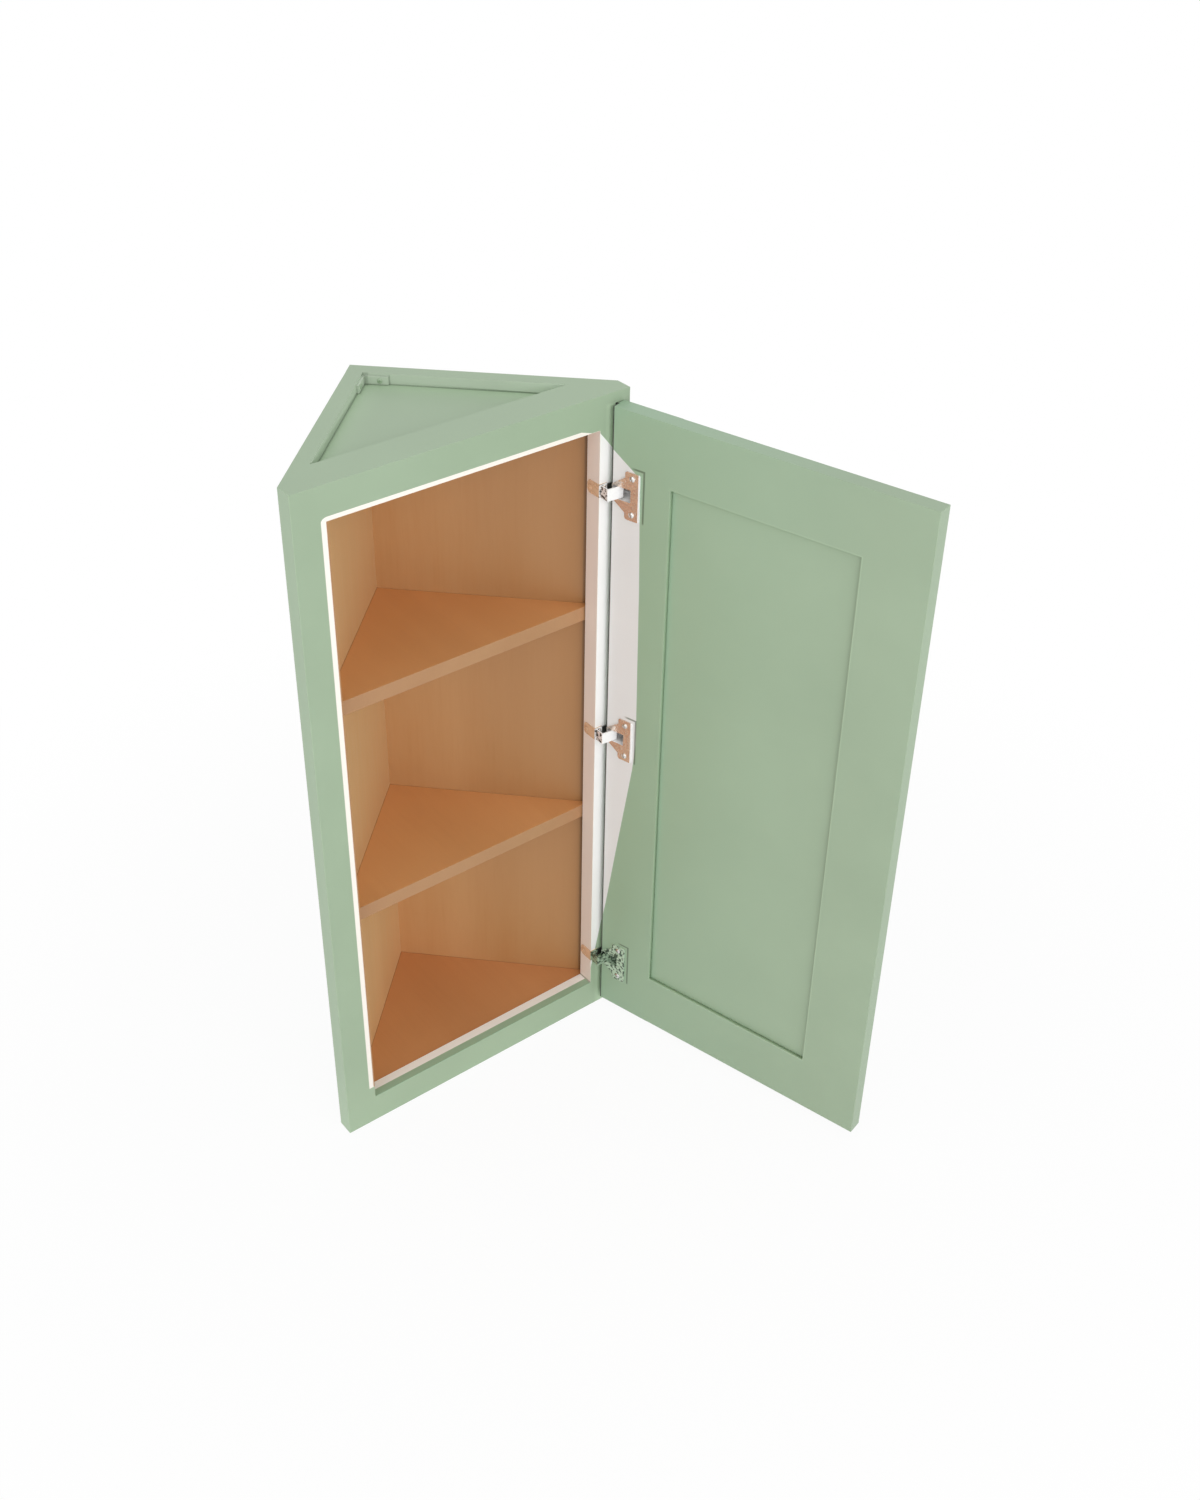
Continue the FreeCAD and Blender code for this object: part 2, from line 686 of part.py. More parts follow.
    # Arm that stands on the bracket's front leg and reaches over the stile to the pin
    arm = new_body(name + "_hinge_arm")
    strap = pad(arm, outline(arm, name + "_arm_plan", [
        ("arm_side", "foot_base"),
        ("arm_side", "arm_shoulder"),
        ("pin_along - knuckle_radius / 2", "arm_crown"),
        ("pin_along - knuckle_radius / 2", "pin_out"),
        ("pin_along + knuckle_radius * 0.7", "pin_out"),
        ("pin_along + knuckle_radius * 2", "arm_crown - arm_thickness - arm_slant / 4"),
        ("arm_side - arm_thickness", "arm_shoulder - arm_thickness"),
        ("arm_side - arm_thickness", "foot_top"),
        ("foot_tip", "foot_top"),
        ("foot_tip", "foot_base"),
    ], rise="-arm_height / 2"), "arm_height")
    rounded(arm, strap, [("arm_side", "arm_shoulder")], "arm_bend_radius")
    rod(arm, "Additive", name + "_knuckle", ("pin_along", "pin_out", "-arm_height / 2"), "z",
        "knuckle_radius", "arm_height")
    rod(arm, "Subtractive", name + "_pin_bore", ("pin_along", "pin_out", "-arm_height / 2"), "z",
        "pin_diameter / 2 + pin_running_clearance", "arm_height")
    on_face(arm, level)

    # Two rivets that join the arm's foot to the bracket
    for key, side in (("upper", "1"), ("lower", "-1")):
        lift = f"{side} * rivet_spread"
        for piece in (arm, bracket):
            rod(piece, "Subtractive", f"{piece.Label}_{key}_rivet_hole",
                ("adjuster_place", "frame_thickness", lift), "y",
                "rivet_diameter / 2", "bracket_thickness + arm_thickness")
        shank = doc.addObject("Part::Cylinder", f"{name}_{key}_rivet_shank")
        settle(shank, ("adjuster_place", "frame_thickness", f"{level} + {lift}"), "y")
        shank.setExpression("Radius", linked("rivet_diameter / 2"))
        shank.setExpression("Height", linked("bracket_thickness + arm_thickness"))
        head = doc.addObject("Part::Cylinder", f"{name}_{key}_rivet_head")
        settle(head, ("adjuster_place", "foot_top", f"{level} + {lift}"), "y")
        head.setExpression("Radius", linked("rivet_head / 2"))
        head.setExpression("Height", linked("rivet_head_height"))
        rivet = doc.addObject("Part::Fuse", f"{name}_{key}_rivet")
        rivet.Base = shank
        rivet.Tool = head
        rivets.append(rivet)

    # Screw through the bracket into the stile's edge, adjuster through foot and bracket into its front
    rod(bracket, "Subtractive", name + "_frame_screw_hole",
        ("bracket_face", "frame_screw_setback", "0"), "-x",
        "frame_screw_diameter / 2 + screw_hole_clearance", "bracket_thickness")
    seat = ("bracket_face", "frame_screw_setback", level)
    pilot(hinge_stile, name + "_frame_pilot", seat, "-x", "frame_screw")
    frame_seats.append((seat, "-x"))
    for piece in (arm, bracket):
        rod(piece, "Subtractive", piece.Label + "_adjuster_hole", ("adjuster_place", "foot_top", "0"), "-y",
            "adjuster_diameter / 2 + screw_hole_clearance", "bracket_thickness + arm_thickness")
    seat = ("adjuster_place", "foot_top", level)
    pilot(hinge_stile, name + "_adjuster_pilot", seat, "-y", "adjuster")
    adjuster_seats.append((seat, "-y"))

on_door(screw_set("hinge_cup_screws", cup_screw, cup_seats))
on_face(screw_set("hinge_frame_screws", frame_screw, frame_seats))
on_face(screw_set("hinge_adjusters", adjuster, adjuster_seats))
group = new_solid("Part::Compound", "hinge_rivets")
group.Links = rivets
on_face(group)
group = new_solid("Part::Compound", "hinge_springs")
group.Links = springs
on_door(group)

doc.recompute()

# Every piece must be sound before it is written
for thing in doc.Objects:
    faults = [state for state in thing.State if state in ("Invalid", "Error")]
    if faults:
        raise RuntimeError(f"{thing.Label}: {faults}")
os.makedirs("parts", exist_ok=True)
for label, thing in nodes.items():
    shape = thing.Shape
    if shape.isNull() or not shape.isValid() or not shape.Solids:
        raise RuntimeError(f"{label}: no sound solid")
    shape.exportStep(f"parts/{label}.step")
    print(label, len(shape.Solids), round(shape.Volume))
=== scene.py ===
import json
import math

import bmesh
import bpy
from mathutils import Matrix, Vector


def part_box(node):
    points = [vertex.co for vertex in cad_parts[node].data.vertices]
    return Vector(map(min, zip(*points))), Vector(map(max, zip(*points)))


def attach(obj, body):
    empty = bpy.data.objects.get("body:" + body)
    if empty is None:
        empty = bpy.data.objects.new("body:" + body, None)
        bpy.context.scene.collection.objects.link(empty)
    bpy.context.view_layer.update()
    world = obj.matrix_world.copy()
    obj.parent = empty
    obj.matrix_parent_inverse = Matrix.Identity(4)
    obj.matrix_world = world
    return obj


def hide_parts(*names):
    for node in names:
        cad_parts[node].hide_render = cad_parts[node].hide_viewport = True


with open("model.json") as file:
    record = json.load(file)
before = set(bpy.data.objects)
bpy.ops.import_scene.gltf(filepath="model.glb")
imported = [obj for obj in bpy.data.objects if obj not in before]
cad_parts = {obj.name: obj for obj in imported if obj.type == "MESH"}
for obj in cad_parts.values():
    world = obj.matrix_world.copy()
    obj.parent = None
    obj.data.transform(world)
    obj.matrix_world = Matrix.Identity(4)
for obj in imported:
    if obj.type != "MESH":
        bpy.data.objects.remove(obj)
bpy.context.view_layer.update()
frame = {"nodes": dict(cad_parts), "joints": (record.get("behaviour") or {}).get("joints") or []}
cadNodes = frame["nodes"]

scene = bpy.context.scene
scene.view_settings.view_transform = "Standard"


# nearest and farthest point of a solid along a direction, counted from start
def reach(nodeName, direction, start=Vector()):
    spans = [(vert.co - start).dot(direction) for vert in cadNodes[nodeName].data.vertices]
    return min(spans), max(spans)


# sizes of the box, its face, the open door and the hinges, in metres, all read from the solids
slant = math.sqrt(0.5)      # of a 45 degree direction along X and Y
up = Vector((0, 0, 1))
backLow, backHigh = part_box("back_panel")
box = {
    "height": backHigh.z,
    "leg": backHigh.x,      # the same on both walls
    "board": -backLow.y,
    "roof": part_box("top_panel")[1].z,
    "floorUnder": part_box("bottom_panel")[0].z,
}
face = {
    "corner": Vector((box["leg"], 0, 0)),
    "along": Vector((-slant, -slant, 0)),   # from the hinge end to the latch end
    "outward": Vector((slant, -slant, 0)),
}
face["length"] = reach("frame_latch_stile", face["along"], face["corner"])[1]
face["stile"] = reach("frame_hinge_stile", face["along"], face["corner"])[1]
face["thick"] = reach("frame_hinge_stile", face["outward"], face["corner"])[1]
box["setback"] = -reach("upper_shelf", face["outward"], face["corner"])[1]     # shelf behind the frame
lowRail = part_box("frame_bottom_rail")[1].z
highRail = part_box("frame_top_rail")[0].z

opened = Matrix.Rotation(math.radians(-frame["joints"][0]["range_deg"][0]), 3, "Z")     # from shut to rest
doorLow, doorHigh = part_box("door_hinge_stile")
openDoor = {
    "along": opened @ face["along"],        # from the hinge edge to the latch edge
    "inward": opened @ face["outward"],     # from the inner face into the door
    "foot": doorLow.z,
    "head": doorHigh.z,
}
openDoor["corner"] = (openDoor["along"] * reach("door_hinge_stile", openDoor["along"])[0]
                      + openDoor["inward"] * reach("door_hinge_stile", openDoor["inward"])[0])
openDoor["width"] = reach("door_latch_stile", openDoor["along"], openDoor["corner"])[1]
openDoor["stile"] = reach("door_hinge_stile", openDoor["along"], openDoor["corner"])[1]
openDoor["thick"] = reach("door_hinge_stile", openDoor["inward"], openDoor["corner"])[1]
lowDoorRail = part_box("door_bottom_rail")[1].z
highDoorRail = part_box("door_top_rail")[0].z

plateLow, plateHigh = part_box("top_hinge_cup")
plate = {
    "half": (plateHigh.z - plateLow.z) / 2,
    "end": reach("top_hinge_cup", openDoor["along"], openDoor["corner"])[1],
}
hingeLevels = {}
for level in ("top", "middle", "bottom"):
    hingeLevels[level] = sum(corner.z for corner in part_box(level + "_hinge_cup")) / 2
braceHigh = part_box("corner_brace")[1]
print(f"sizes: face {face['length']:.4f} by {box['height']:.4f}, door {openDoor['width']:.4f}")


def onFace(spot):
    rel = spot - face["corner"]
    return rel.dot(face["along"]), rel.dot(face["outward"]), spot.z


def onDoor(spot):
    rel = spot - openDoor["corner"]
    return rel.dot(openDoor["along"]), rel.dot(openDoor["inward"]), spot.z


def tone(red, green, blue):     # screen values 0 to 255 to linear light
    def lin(part):
        part = part / 255
        return part / 12.92 if part <= 0.04045 else ((part + 0.055) / 1.055) ** 2.4
    return lin(red), lin(green), lin(blue), 1.0


def darker(colour, share):
    return tuple(part * share for part in colour[:3]) + (1.0,)


# masks: how near a face counts as on it, how far a coat stops before an arris or laps past it
lap = {"skin": 0.0006, "arris": 0.0004, "past": 0.0008}
# half the width of a mask's edge, from hard to faint
blur = {"hard": 0.0002, "crisp": 0.0003, "clean": 0.0006, "loose": 0.0008, "broad": 0.0010,
        "hazy": 0.0015, "faint": 0.0020, "spread": 0.0040}


# node helpers
def put(tree, kind, inputs=None, **settings):
    node = tree.nodes.new(kind)
    for key, value in settings.items():
        setattr(node, key, value)
    for key, value in (inputs or {}).items():
        if isinstance(value, bpy.types.NodeSocket):
            tree.links.new(value, node.inputs[key])
        else:
            node.inputs[key].default_value = value
    return node


def calc(tree, operation, first, second=0.0):
    return put(tree, "ShaderNodeMath", {0: first, 1: second}, operation=operation).outputs[0]


def plus(tree, first, second):
    return calc(tree, "ADD", first, second)


def minus(tree, first, second):
    return calc(tree, "SUBTRACT", first, second)


def times(tree, first, second):
    return calc(tree, "MULTIPLY", first, second)


def larger(tree, first, second):
    return calc(tree, "MAXIMUM", first, second)


def smaller(tree, first, second):
    return calc(tree, "MINIMUM", first, second)


def squared(tree, value):
    return calc(tree, "POWER", value, 2.0)


def allOf(tree, *masks):
    result = masks[0]
    for mask in masks[1:]:
        result = times(tree, result, mask)
    return result


def anyOf(tree, *masks):
    result = masks[0]
    for mask in masks[1:]:
        result = larger(tree, result, mask)
    return result


def remap(tree, value, low, high, outLow=0.0, outHigh=1.0, smooth=False):
    kind = "SMOOTHSTEP" if smooth else "LINEAR"
    return put(tree, "ShaderNodeMapRange", {
        "Value": value, "From Min": low, "From Max": high, "To Min": outLow, "To Max": outHigh,
    }, interpolation_type=kind).outputs[0]


def above(tree, value, edge, width=blur["crisp"]):
    return remap(tree, value, edge - width, edge + width, smooth=True)


def below(tree, value, edge, width=blur["crisp"]):
    return remap(tree, value, edge - width, edge + width, 1.0, 0.0, smooth=True)


# first where the mask is 0, second where it is 1
def between(tree, mask, first, second):
    return put(tree, "ShaderNodeMix", {0: mask, 2: first, 3: second}, data_type="FLOAT").outputs[0]


def mixTone(tree, mask, first, second):
    return put(tree, "ShaderNodeMix", {0: mask, 6: first, 7: second}, data_type="RGBA").outputs[2]


def lifted(tree, colour, share):
    return put(tree, "ShaderNodeVectorMath", {0: colour, "Scale": share}, operation="SCALE").outputs[0]


def axes(tree, place):
    return put(tree, "ShaderNodeSeparateXYZ", {0: place}).outputs


def placeAlong(tree, place, corner, direction):
    rel = put(tree, "ShaderNodeVectorMath", {0: place, 1: corner}, operation="SUBTRACT").outputs[0]
    span = put(tree, "ShaderNodeVectorMath", {0: rel, 1: direction}, operation="DOT_PRODUCT")
    return span.outputs["Value"]


def noise(tree, place, scale, detail, rough):
    return put(tree, "ShaderNodeTexNoise", {
        "Vector": place, "Scale": scale, "Detail": detail, "Roughness": rough,
    }).outputs[0]


# a shader group that takes a place and some scales, and gives masks and values
def newGroup(name, scales, gives):
    tree = bpy.data.node_groups.new(name, "ShaderNodeTree")
    tree.interface.new_socket(name="Place", in_out="INPUT", socket_type="NodeSocketVector")
    for label in scales:
        tree.interface.new_socket(name=label, in_out="INPUT", socket_type="NodeSocketFloat")
    for label in gives:
        tree.interface.new_socket(name=label, in_out="OUTPUT", socket_type="NodeSocketFloat")
    return tree, put(tree, "NodeGroupInput").outputs, put(tree, "NodeGroupOutput").inputs


def useGroup(tree, group, inputs):
    return put(tree, "ShaderNodeGroup", inputs, node_tree=group).outputs


# in the next three dictionaries a noise is given as (detail, roughness),
# and a range is the part of a noise that is drawn out to 0 and 1

# sprayed paint: a slow cloud in the colour, orange peel in the surface
paintNoise = {"cloud": (3.0, 0.55), "cloudRange": (0.3, 0.7), "peel": (2.0, 0.5)}
paintSkin, takes, gives = newGroup("paintSkin", ["Cloud Scale", "Peel Scale"], ["Cloud", "Gloss", "Peel"])
cloud = noise(paintSkin, takes["Place"], takes["Cloud Scale"], *paintNoise["cloud"])
peel = noise(paintSkin, takes["Place"], takes["Peel Scale"], *paintNoise["peel"])
paintSkin.links.new(remap(paintSkin, cloud, *paintNoise["cloudRange"]), gives["Cloud"])
paintSkin.links.new(times(paintSkin, cloud, peel), gives["Gloss"])
paintSkin.links.new(peel, gives["Peel"])

# wood: broad figure, fibres and pores along a stretched place
woodNoise = {"broad": (3.0, 0.5), "fibre": (5.0, 0.65), "broadShare": 0.6, "fibreShare": 0.4,
             "figureRange": (0.34, 0.66), "poreRange": (0.58, 0.74)}
woodFigure, takes, gives = newGroup(
    "woodFigure", ["Figure Scale", "Fibre Scale"], ["Figure", "Pores", "Relief"])
broad = noise(woodFigure, takes["Place"], takes["Figure Scale"], *woodNoise["broad"])
fibre = noise(woodFigure, takes["Place"], takes["Fibre Scale"], *woodNoise["fibre"])
mixed = plus(woodFigure, times(woodFigure, broad, woodNoise["broadShare"]),
             times(woodFigure, fibre, woodNoise["fibreShare"]))
woodFigure.links.new(remap(woodFigure, mixed, *woodNoise["figureRange"]), gives["Figure"])
woodFigure.links.new(remap(woodFigure, fibre, *woodNoise["poreRange"]), gives["Pores"])
woodFigure.links.new(fibre, gives["Relief"])

# plated metal: fine brushing, and a blotch noise for faint smudges and for painted reflections
metalNoise = {"brush": (3.0, 0.6), "smudgeAndReflection": (2.0, 0.5), "blotchRange": (0.42, 0.72)}
metalSkin, takes, gives = newGroup("metalSkin", ["Brush Scale", "Blotch Scale"], ["Brush", "Smudge And Reflection"])
brush = noise(metalSkin, takes["Place"], takes["Brush Scale"], *metalNoise["brush"])
smudgeAndReflection = noise(metalSkin, takes["Place"], takes["Blotch Scale"], *metalNoise["smudgeAndReflection"])
metalSkin.links.new(brush, gives["Brush"])
metalSkin.links.new(remap(metalSkin, smudgeAndReflection, *metalNoise["blotchRange"]), gives["Smudge And Reflection"])
print("shader groups: paint, wood and metal")


def newMaterial(name):
    material = bpy.data.materials.new(name)
    material.use_nodes = True
    tree = material.node_tree
    shader = tree.nodes["Principled BSDF"]
    place = put(tree, "ShaderNodeTexCoord").outputs["Object"]
    return material, tree, shader, place


def feed(tree, shader, colour, rough, relief, strength, depth):
    tree.links.new(colour, shader.inputs["Base Color"])
    tree.links.new(rough, shader.inputs["Roughness"])
    bump = put(tree, "ShaderNodeBump", {"Strength": strength, "Distance": depth, "Height": relief})
    tree.links.new(bump.outputs[0], shader.inputs["Normal"])


paint = {
    "deep": tone(161, 182, 154), "light": tone(167, 188, 160), "cloudScale": 7.0, "peelScale": 900.0,
    "glossRange": (0.12, 0.40), "rough": (0.36, 0.50), "peelStrength": 0.10, "peelDepth": 0.0002,
    # the undercoat is set at full white, partly painted light that makes up for the shade on the hinge
    # stile
    "undercoat": tone(255, 254, 253), "undercoatDim": tone(251, 250, 248),
    # a dark tone for painted shade in the narrow gaps, and a dark tone for joint lines and painted shadow
    # lines
    "gapShade": tone(64, 66, 62), "line": tone(88, 102, 84),
}

# frame: pale undercoat left round the opening and down the hinge stile, painted shade in the gap beside the
# door and in the hollow behind each hinge arm, and painted light that evens out how light falls on it
frameZone = {
    # painted light: the frame brighter at the foot and at the latch end, a little darker on its front above
    # the foot
    "footRise": 0.12, "footLift": 1.06, "bodyLift": 0.945, "endLift": 1.14,
    # painted shade in the gap beside the door, and painted light just beside it
    "gapFrom": 0.0172, "gapTo": 0.0204, "gapGlow": 0.014, "gapLift": 1.6,
    # painted shade in the hollow behind each hinge arm
    "hollowHalf": 0.0062, "hollowTo": 0.0325,       # behind each hinge arm
    "stileTop": 0.8706, "topSlope": 1.252, "stileFrom": 0.0180,
    "wedgeFrom": 0.0241, "wedgeRise": 0.1468, "wedgeSlope": 0.215,      # narrower towards its foot
    "sideBand": 0.0078, "topBand": 0.0052, "bandSoft": 0.1, "bandFoot": 0.0185,
    "taperFrom": 0.011, "taperTo": 0.026, "taperEnd": 0.0003, "bandTone": tone(255, 248, 240),
    "bareEdge": 0.0017, "bareWood": tone(176, 131, 90),
    # the line at the stile's foot is a joint line with painted contact shade
    "edgeDeep": 0.001, "edgeTone": tone(241, 230, 222), "footLine": 0.0016, "footShare": 0.55,
    # the greener tone on the bottom rail's top is painted to offset the brown light thrown on it from the
    # wood inside
    "railGreenAgainstBounce": tone(158, 190, 163), "railHalf": 0.0115, "railPale": tone(255, 254, 251),
}


# painted light: what the colour is multiplied by, brighter at the foot, on top, at the latch end and beside
# the gap, to even out how light falls on the frame
def paintedFrameLight(tree, along, height, onFront):
    zone = frameZone
    lift = remap(tree, height, 0.0, zone["footRise"], zone["footLift"], zone["bodyLift"])
    lift = larger(tree, lift, above(tree, height, box["height"] - lap["skin"]))
    atEnd = above(tree, along, face["length"] - lap["skin"])
    lift = times(tree, lift, between(tree, atEnd, 1.0, zone["endLift"]))
    byGap = allOf(
        tree, remap(tree, along, zone["gapTo"], zone["gapTo"] + zone["gapGlow"], 1.0, 0.0),
        above(tree, along, zone["gapFrom"]), below(tree, height, openDoor["head"], blur["faint"]), onFront)
    return times(tree, lift, between(tree, byGap, 1.0, zone["gapLift"]))


# front of the hinge stile under a slanted top edge, cut by a wedge at the foot
def paleStile(tree, along, height, onFront):
    zone = frameZone
    slanted = times(tree, minus(tree, face["stile"], along), zone["topSlope"])
    wedge = times(tree, minus(tree, zone["wedgeRise"], height), zone["wedgeSlope"])
    wedge = plus(tree, larger(tree, wedge, 0.0), zone["wedgeFrom"])
    pastWedge = above(tree, minus(tree, along, wedge), 0.0)
    return allOf(
        tree, onFront, below(tree, plus(tree, height, slanted), zone["stileTop"]),
        above(tree, along, zone["stileFrom"]), below(tree, along, face["stile"] - lap["arris"]),
        larger(tree, pastWedge, above(tree, height, zone["wedgeRise"])))


# band over the opening and beside it, with a round corner at the latch stile and a taper at the hinge stile
def openingBand(tree, along, height, fromLatch, overFoot):
    zone = frameZone
    hingeSide = face["stile"]
    beside = squared(tree, calc(tree, "DIVIDE", fromLatch, zone["sideBand"]))
    bandHeight = remap(tree, along, hingeSide + zone["taperFrom"], hingeSide + zone["taperTo"],
                       zone["taperEnd"], zone["topBand"])
    over = larger(tree, minus(tree, height, highRail), 0.0)
    over = squared(tree, calc(tree, "DIVIDE", over, bandHeight))
    return allOf(
        tree, below(tree, plus(tree, beside, over), 1.0, zone["bandSoft"]),
        above(tree, along, hingeSide + lap["past"]), overFoot)


# painted shade: a dark line in the gap beside the door, and dark in the hollow behind each hinge arm
def paintedGapShades(tree, along, outward, height):
    zone = frameZone
    nearFront = above(tree, outward, face["thick"] - lap["arris"])
    pastDoor = above(tree, along, zone["gapFrom"])
    gapShade = allOf(
        tree, pastDoor, below(tree, along, zone["gapTo"]), nearFront,
        below(tree, height, openDoor["head"] - lap["arris"]),
        above(tree, height, openDoor["foot"] + lap["arris"]))
    masks = []
    for level in hingeLevels.values():
        fromLevel = calc(tree, "ABSOLUTE", minus(tree, height, level))
        masks.append(below(tree, fromLevel, zone["hollowHalf"], blur["hazy"]))
    hollowShade = allOf(
        tree, anyOf(tree, *masks), pastDoor, below(tree, along, zone["hollowTo"], blur["broad"]), nearFront)
    return anyOf(tree, gapShade, hollowShade)


# each coat takes the plain paint's colour and cloud, and gives the colour with its own zones on it
def frameCoat(tree, place, colour, cloud):
    zone = frameZone
    along = placeAlong(tree, place, face["corner"], face["along"])
    outward = placeAlong(tree, place, face["corner"], face["outward"])
    height = axes(tree, place)[2]
    hingeSide = face["stile"]
    latchSide = face["length"] - face["stile"]
    onFront = above(tree, outward, face["thick"] - lap["skin"])
    underTop = below(tree, height, highRail)
    overFoot = above(tree, height, lowRail + zone["bandFoot"], blur["broad"])
    fromLatch = larger(tree, minus(tree, along, latchSide), 0.0)
    onLatch = above(tree, along, latchSide - lap["arris"])
    colour = lifted(tree, colour, paintedFrameLight(tree, along, height, onFront))
    # painted light: the bottom rail's top made greener to offset the brown light thrown on it from the wood
    # inside; its rear half then takes the pale coat
    railTop = allOf(
        tree, above(tree, height, lowRail - lap["past"]), below(tree, height, lowRail + lap["skin"]),
        above(tree, along, hingeSide + lap["past"]), below(tree, along, latchSide - lap["arris"]))
    colour = mixTone(tree, railTop, colour, zone["railGreenAgainstBounce"])
    railRear = times(tree, railTop, below(tree, outward, zone["railHalf"], blur["clean"]))
    colour = mixTone(tree, railRear, colour, zone["railPale"])
    pale = mixTone(tree, cloud, paint["undercoatDim"], paint["undercoat"])
    colour = mixTone(tree, paleStile(tree, along, height, onFront), colour, pale)
    band = openingBand(tree, along, height, fromLatch, overFoot)
    colour = mixTone(tree, band, colour, zone["bandTone"])
    inEdge = allOf(
        tree, above(tree, along, hingeSide - lap["arris"], blur["hard"]),
        below(tree, along, hingeSide + zone["edgeDeep"]), above(tree, height, lowRail), underTop)
    colour = mixTone(tree, inEdge, colour, zone["edgeTone"])
    # dark line at the stile's foot where it meets the rail: a joint line with painted contact shade
    foot = times(tree, inEdge, below(tree, height, lowRail + zone["footLine"], blur["clean"]))
    colour = mixTone(tree, times(tree, foot, zone["footShare"]), colour, paint["line"])
    bare = allOf(tree, below(tree, fromLatch, zone["bareEdge"]), onLatch, overFoot, underTop)
    colour = mixTone(tree, bare, colour, zone["bareWood"])
    # painted shade in the gap beside the door and behind the hinge arms
    return mixTone(tree, paintedGapShades(tree, along, outward, height), colour, paint["gapShade"])


# door: pale undercoat on the inner face beside the hinges, as wide as the curve says at each height;
# greener paint towards the hinges that offsets the brown light from the wood inside, painted shade away
# from the hinges, painted shadows beside the hinge plates, painted highlights on the arrises round the
# panel, painted light on the step down to the panel and painted shade along the hinge edge
doorZone = {
    # painted shade a little darker away from the hinges, and a painted highlight on the arrises round the
    # panel
    "farFrom": 0.08, "farTo": 0.30, "farLift": 0.93, "glow": 0.0018, "highlightLift": 1.12,
    # painted light on the step down to the panel
    "borderDeep": 0.0048, "borderLift": 1.16,       # the step down to the panel
    # greener towards the hinges, painted to offset the brown light thrown from the wood inside
    "greenAgainstBounce": tone(153, 184, 156), "greenTo": 0.34, "greenShare": 0.7,
    # the door's pale undercoat is a darker tone than the frame's: painted shade
    "top": 0.8505, "topSlope": 0.67, "pale": tone(235, 236, 236), "paleDim": tone(231, 232, 232),
    "widest": 0.05,         # full scale of the pale part's edge, which is (height, width)
    "edge": [(0.158, 0.0003), (0.184, 0.0053), (0.284, 0.0200), (0.372, 0.0335), (0.423, 0.0412),
             (0.464, 0.0455), (0.559, 0.0441), (0.683, 0.0425), (0.836, 0.0383), (0.914, 0.0370)],
    "shadowFrom": 0.0036, "shadowTo": 0.0060, "shadowBack": 0.010, "shadowShare": 0.75,
    # painted shade in the gap along the door's hinge edge
    "gapTo": 0.0016, "gapDeep": 0.0025,
}


# width of the pale part at a height
def paleWidth(tree, height):
    zone = doorZone
    curve = put(tree, "ShaderNodeFloatCurve", {"Value": calc(tree, "DIVIDE", height, box["height"])})
    line = curve.mapping.curves[0]
    spots = [(rise / box["height"], wide / zone["widest"]) for rise, wide in zone["edge"]]
    line.points[0].location = (0.0, 0.0)
    line.points[1].location = spots[-1]
    for spot in spots[:-1]:
        line.points.new(*spot)
    for point in line.points:
        point.handle_type = "VECTOR"
    curve.mapping.update()
    return times(tree, curve.outputs[0], zone["widest"])


# dark lines beside and above each hinge plate
def plateShadows(tree, along, height):
    zone = doorZone
    masks = []
    for level in hingeLevels.values():
        over = minus(tree, height, level + plate["half"])
        beside = larger(tree, minus(tree, along, plate["end"]), over)
        masks.append(allOf(
            tree, above(tree, beside, zone["shadowFrom"], blur["clean"]),
            below(tree, beside, zone["shadowTo"], blur["clean"]),
            above(tree, height, level - plate["half"], blur["faint"]),
            above(tree, along, plate["end"] - zone["shadowBack"], blur["spread"])))
    return times(tree, anyOf(tree, *masks), zone["shadowShare"])


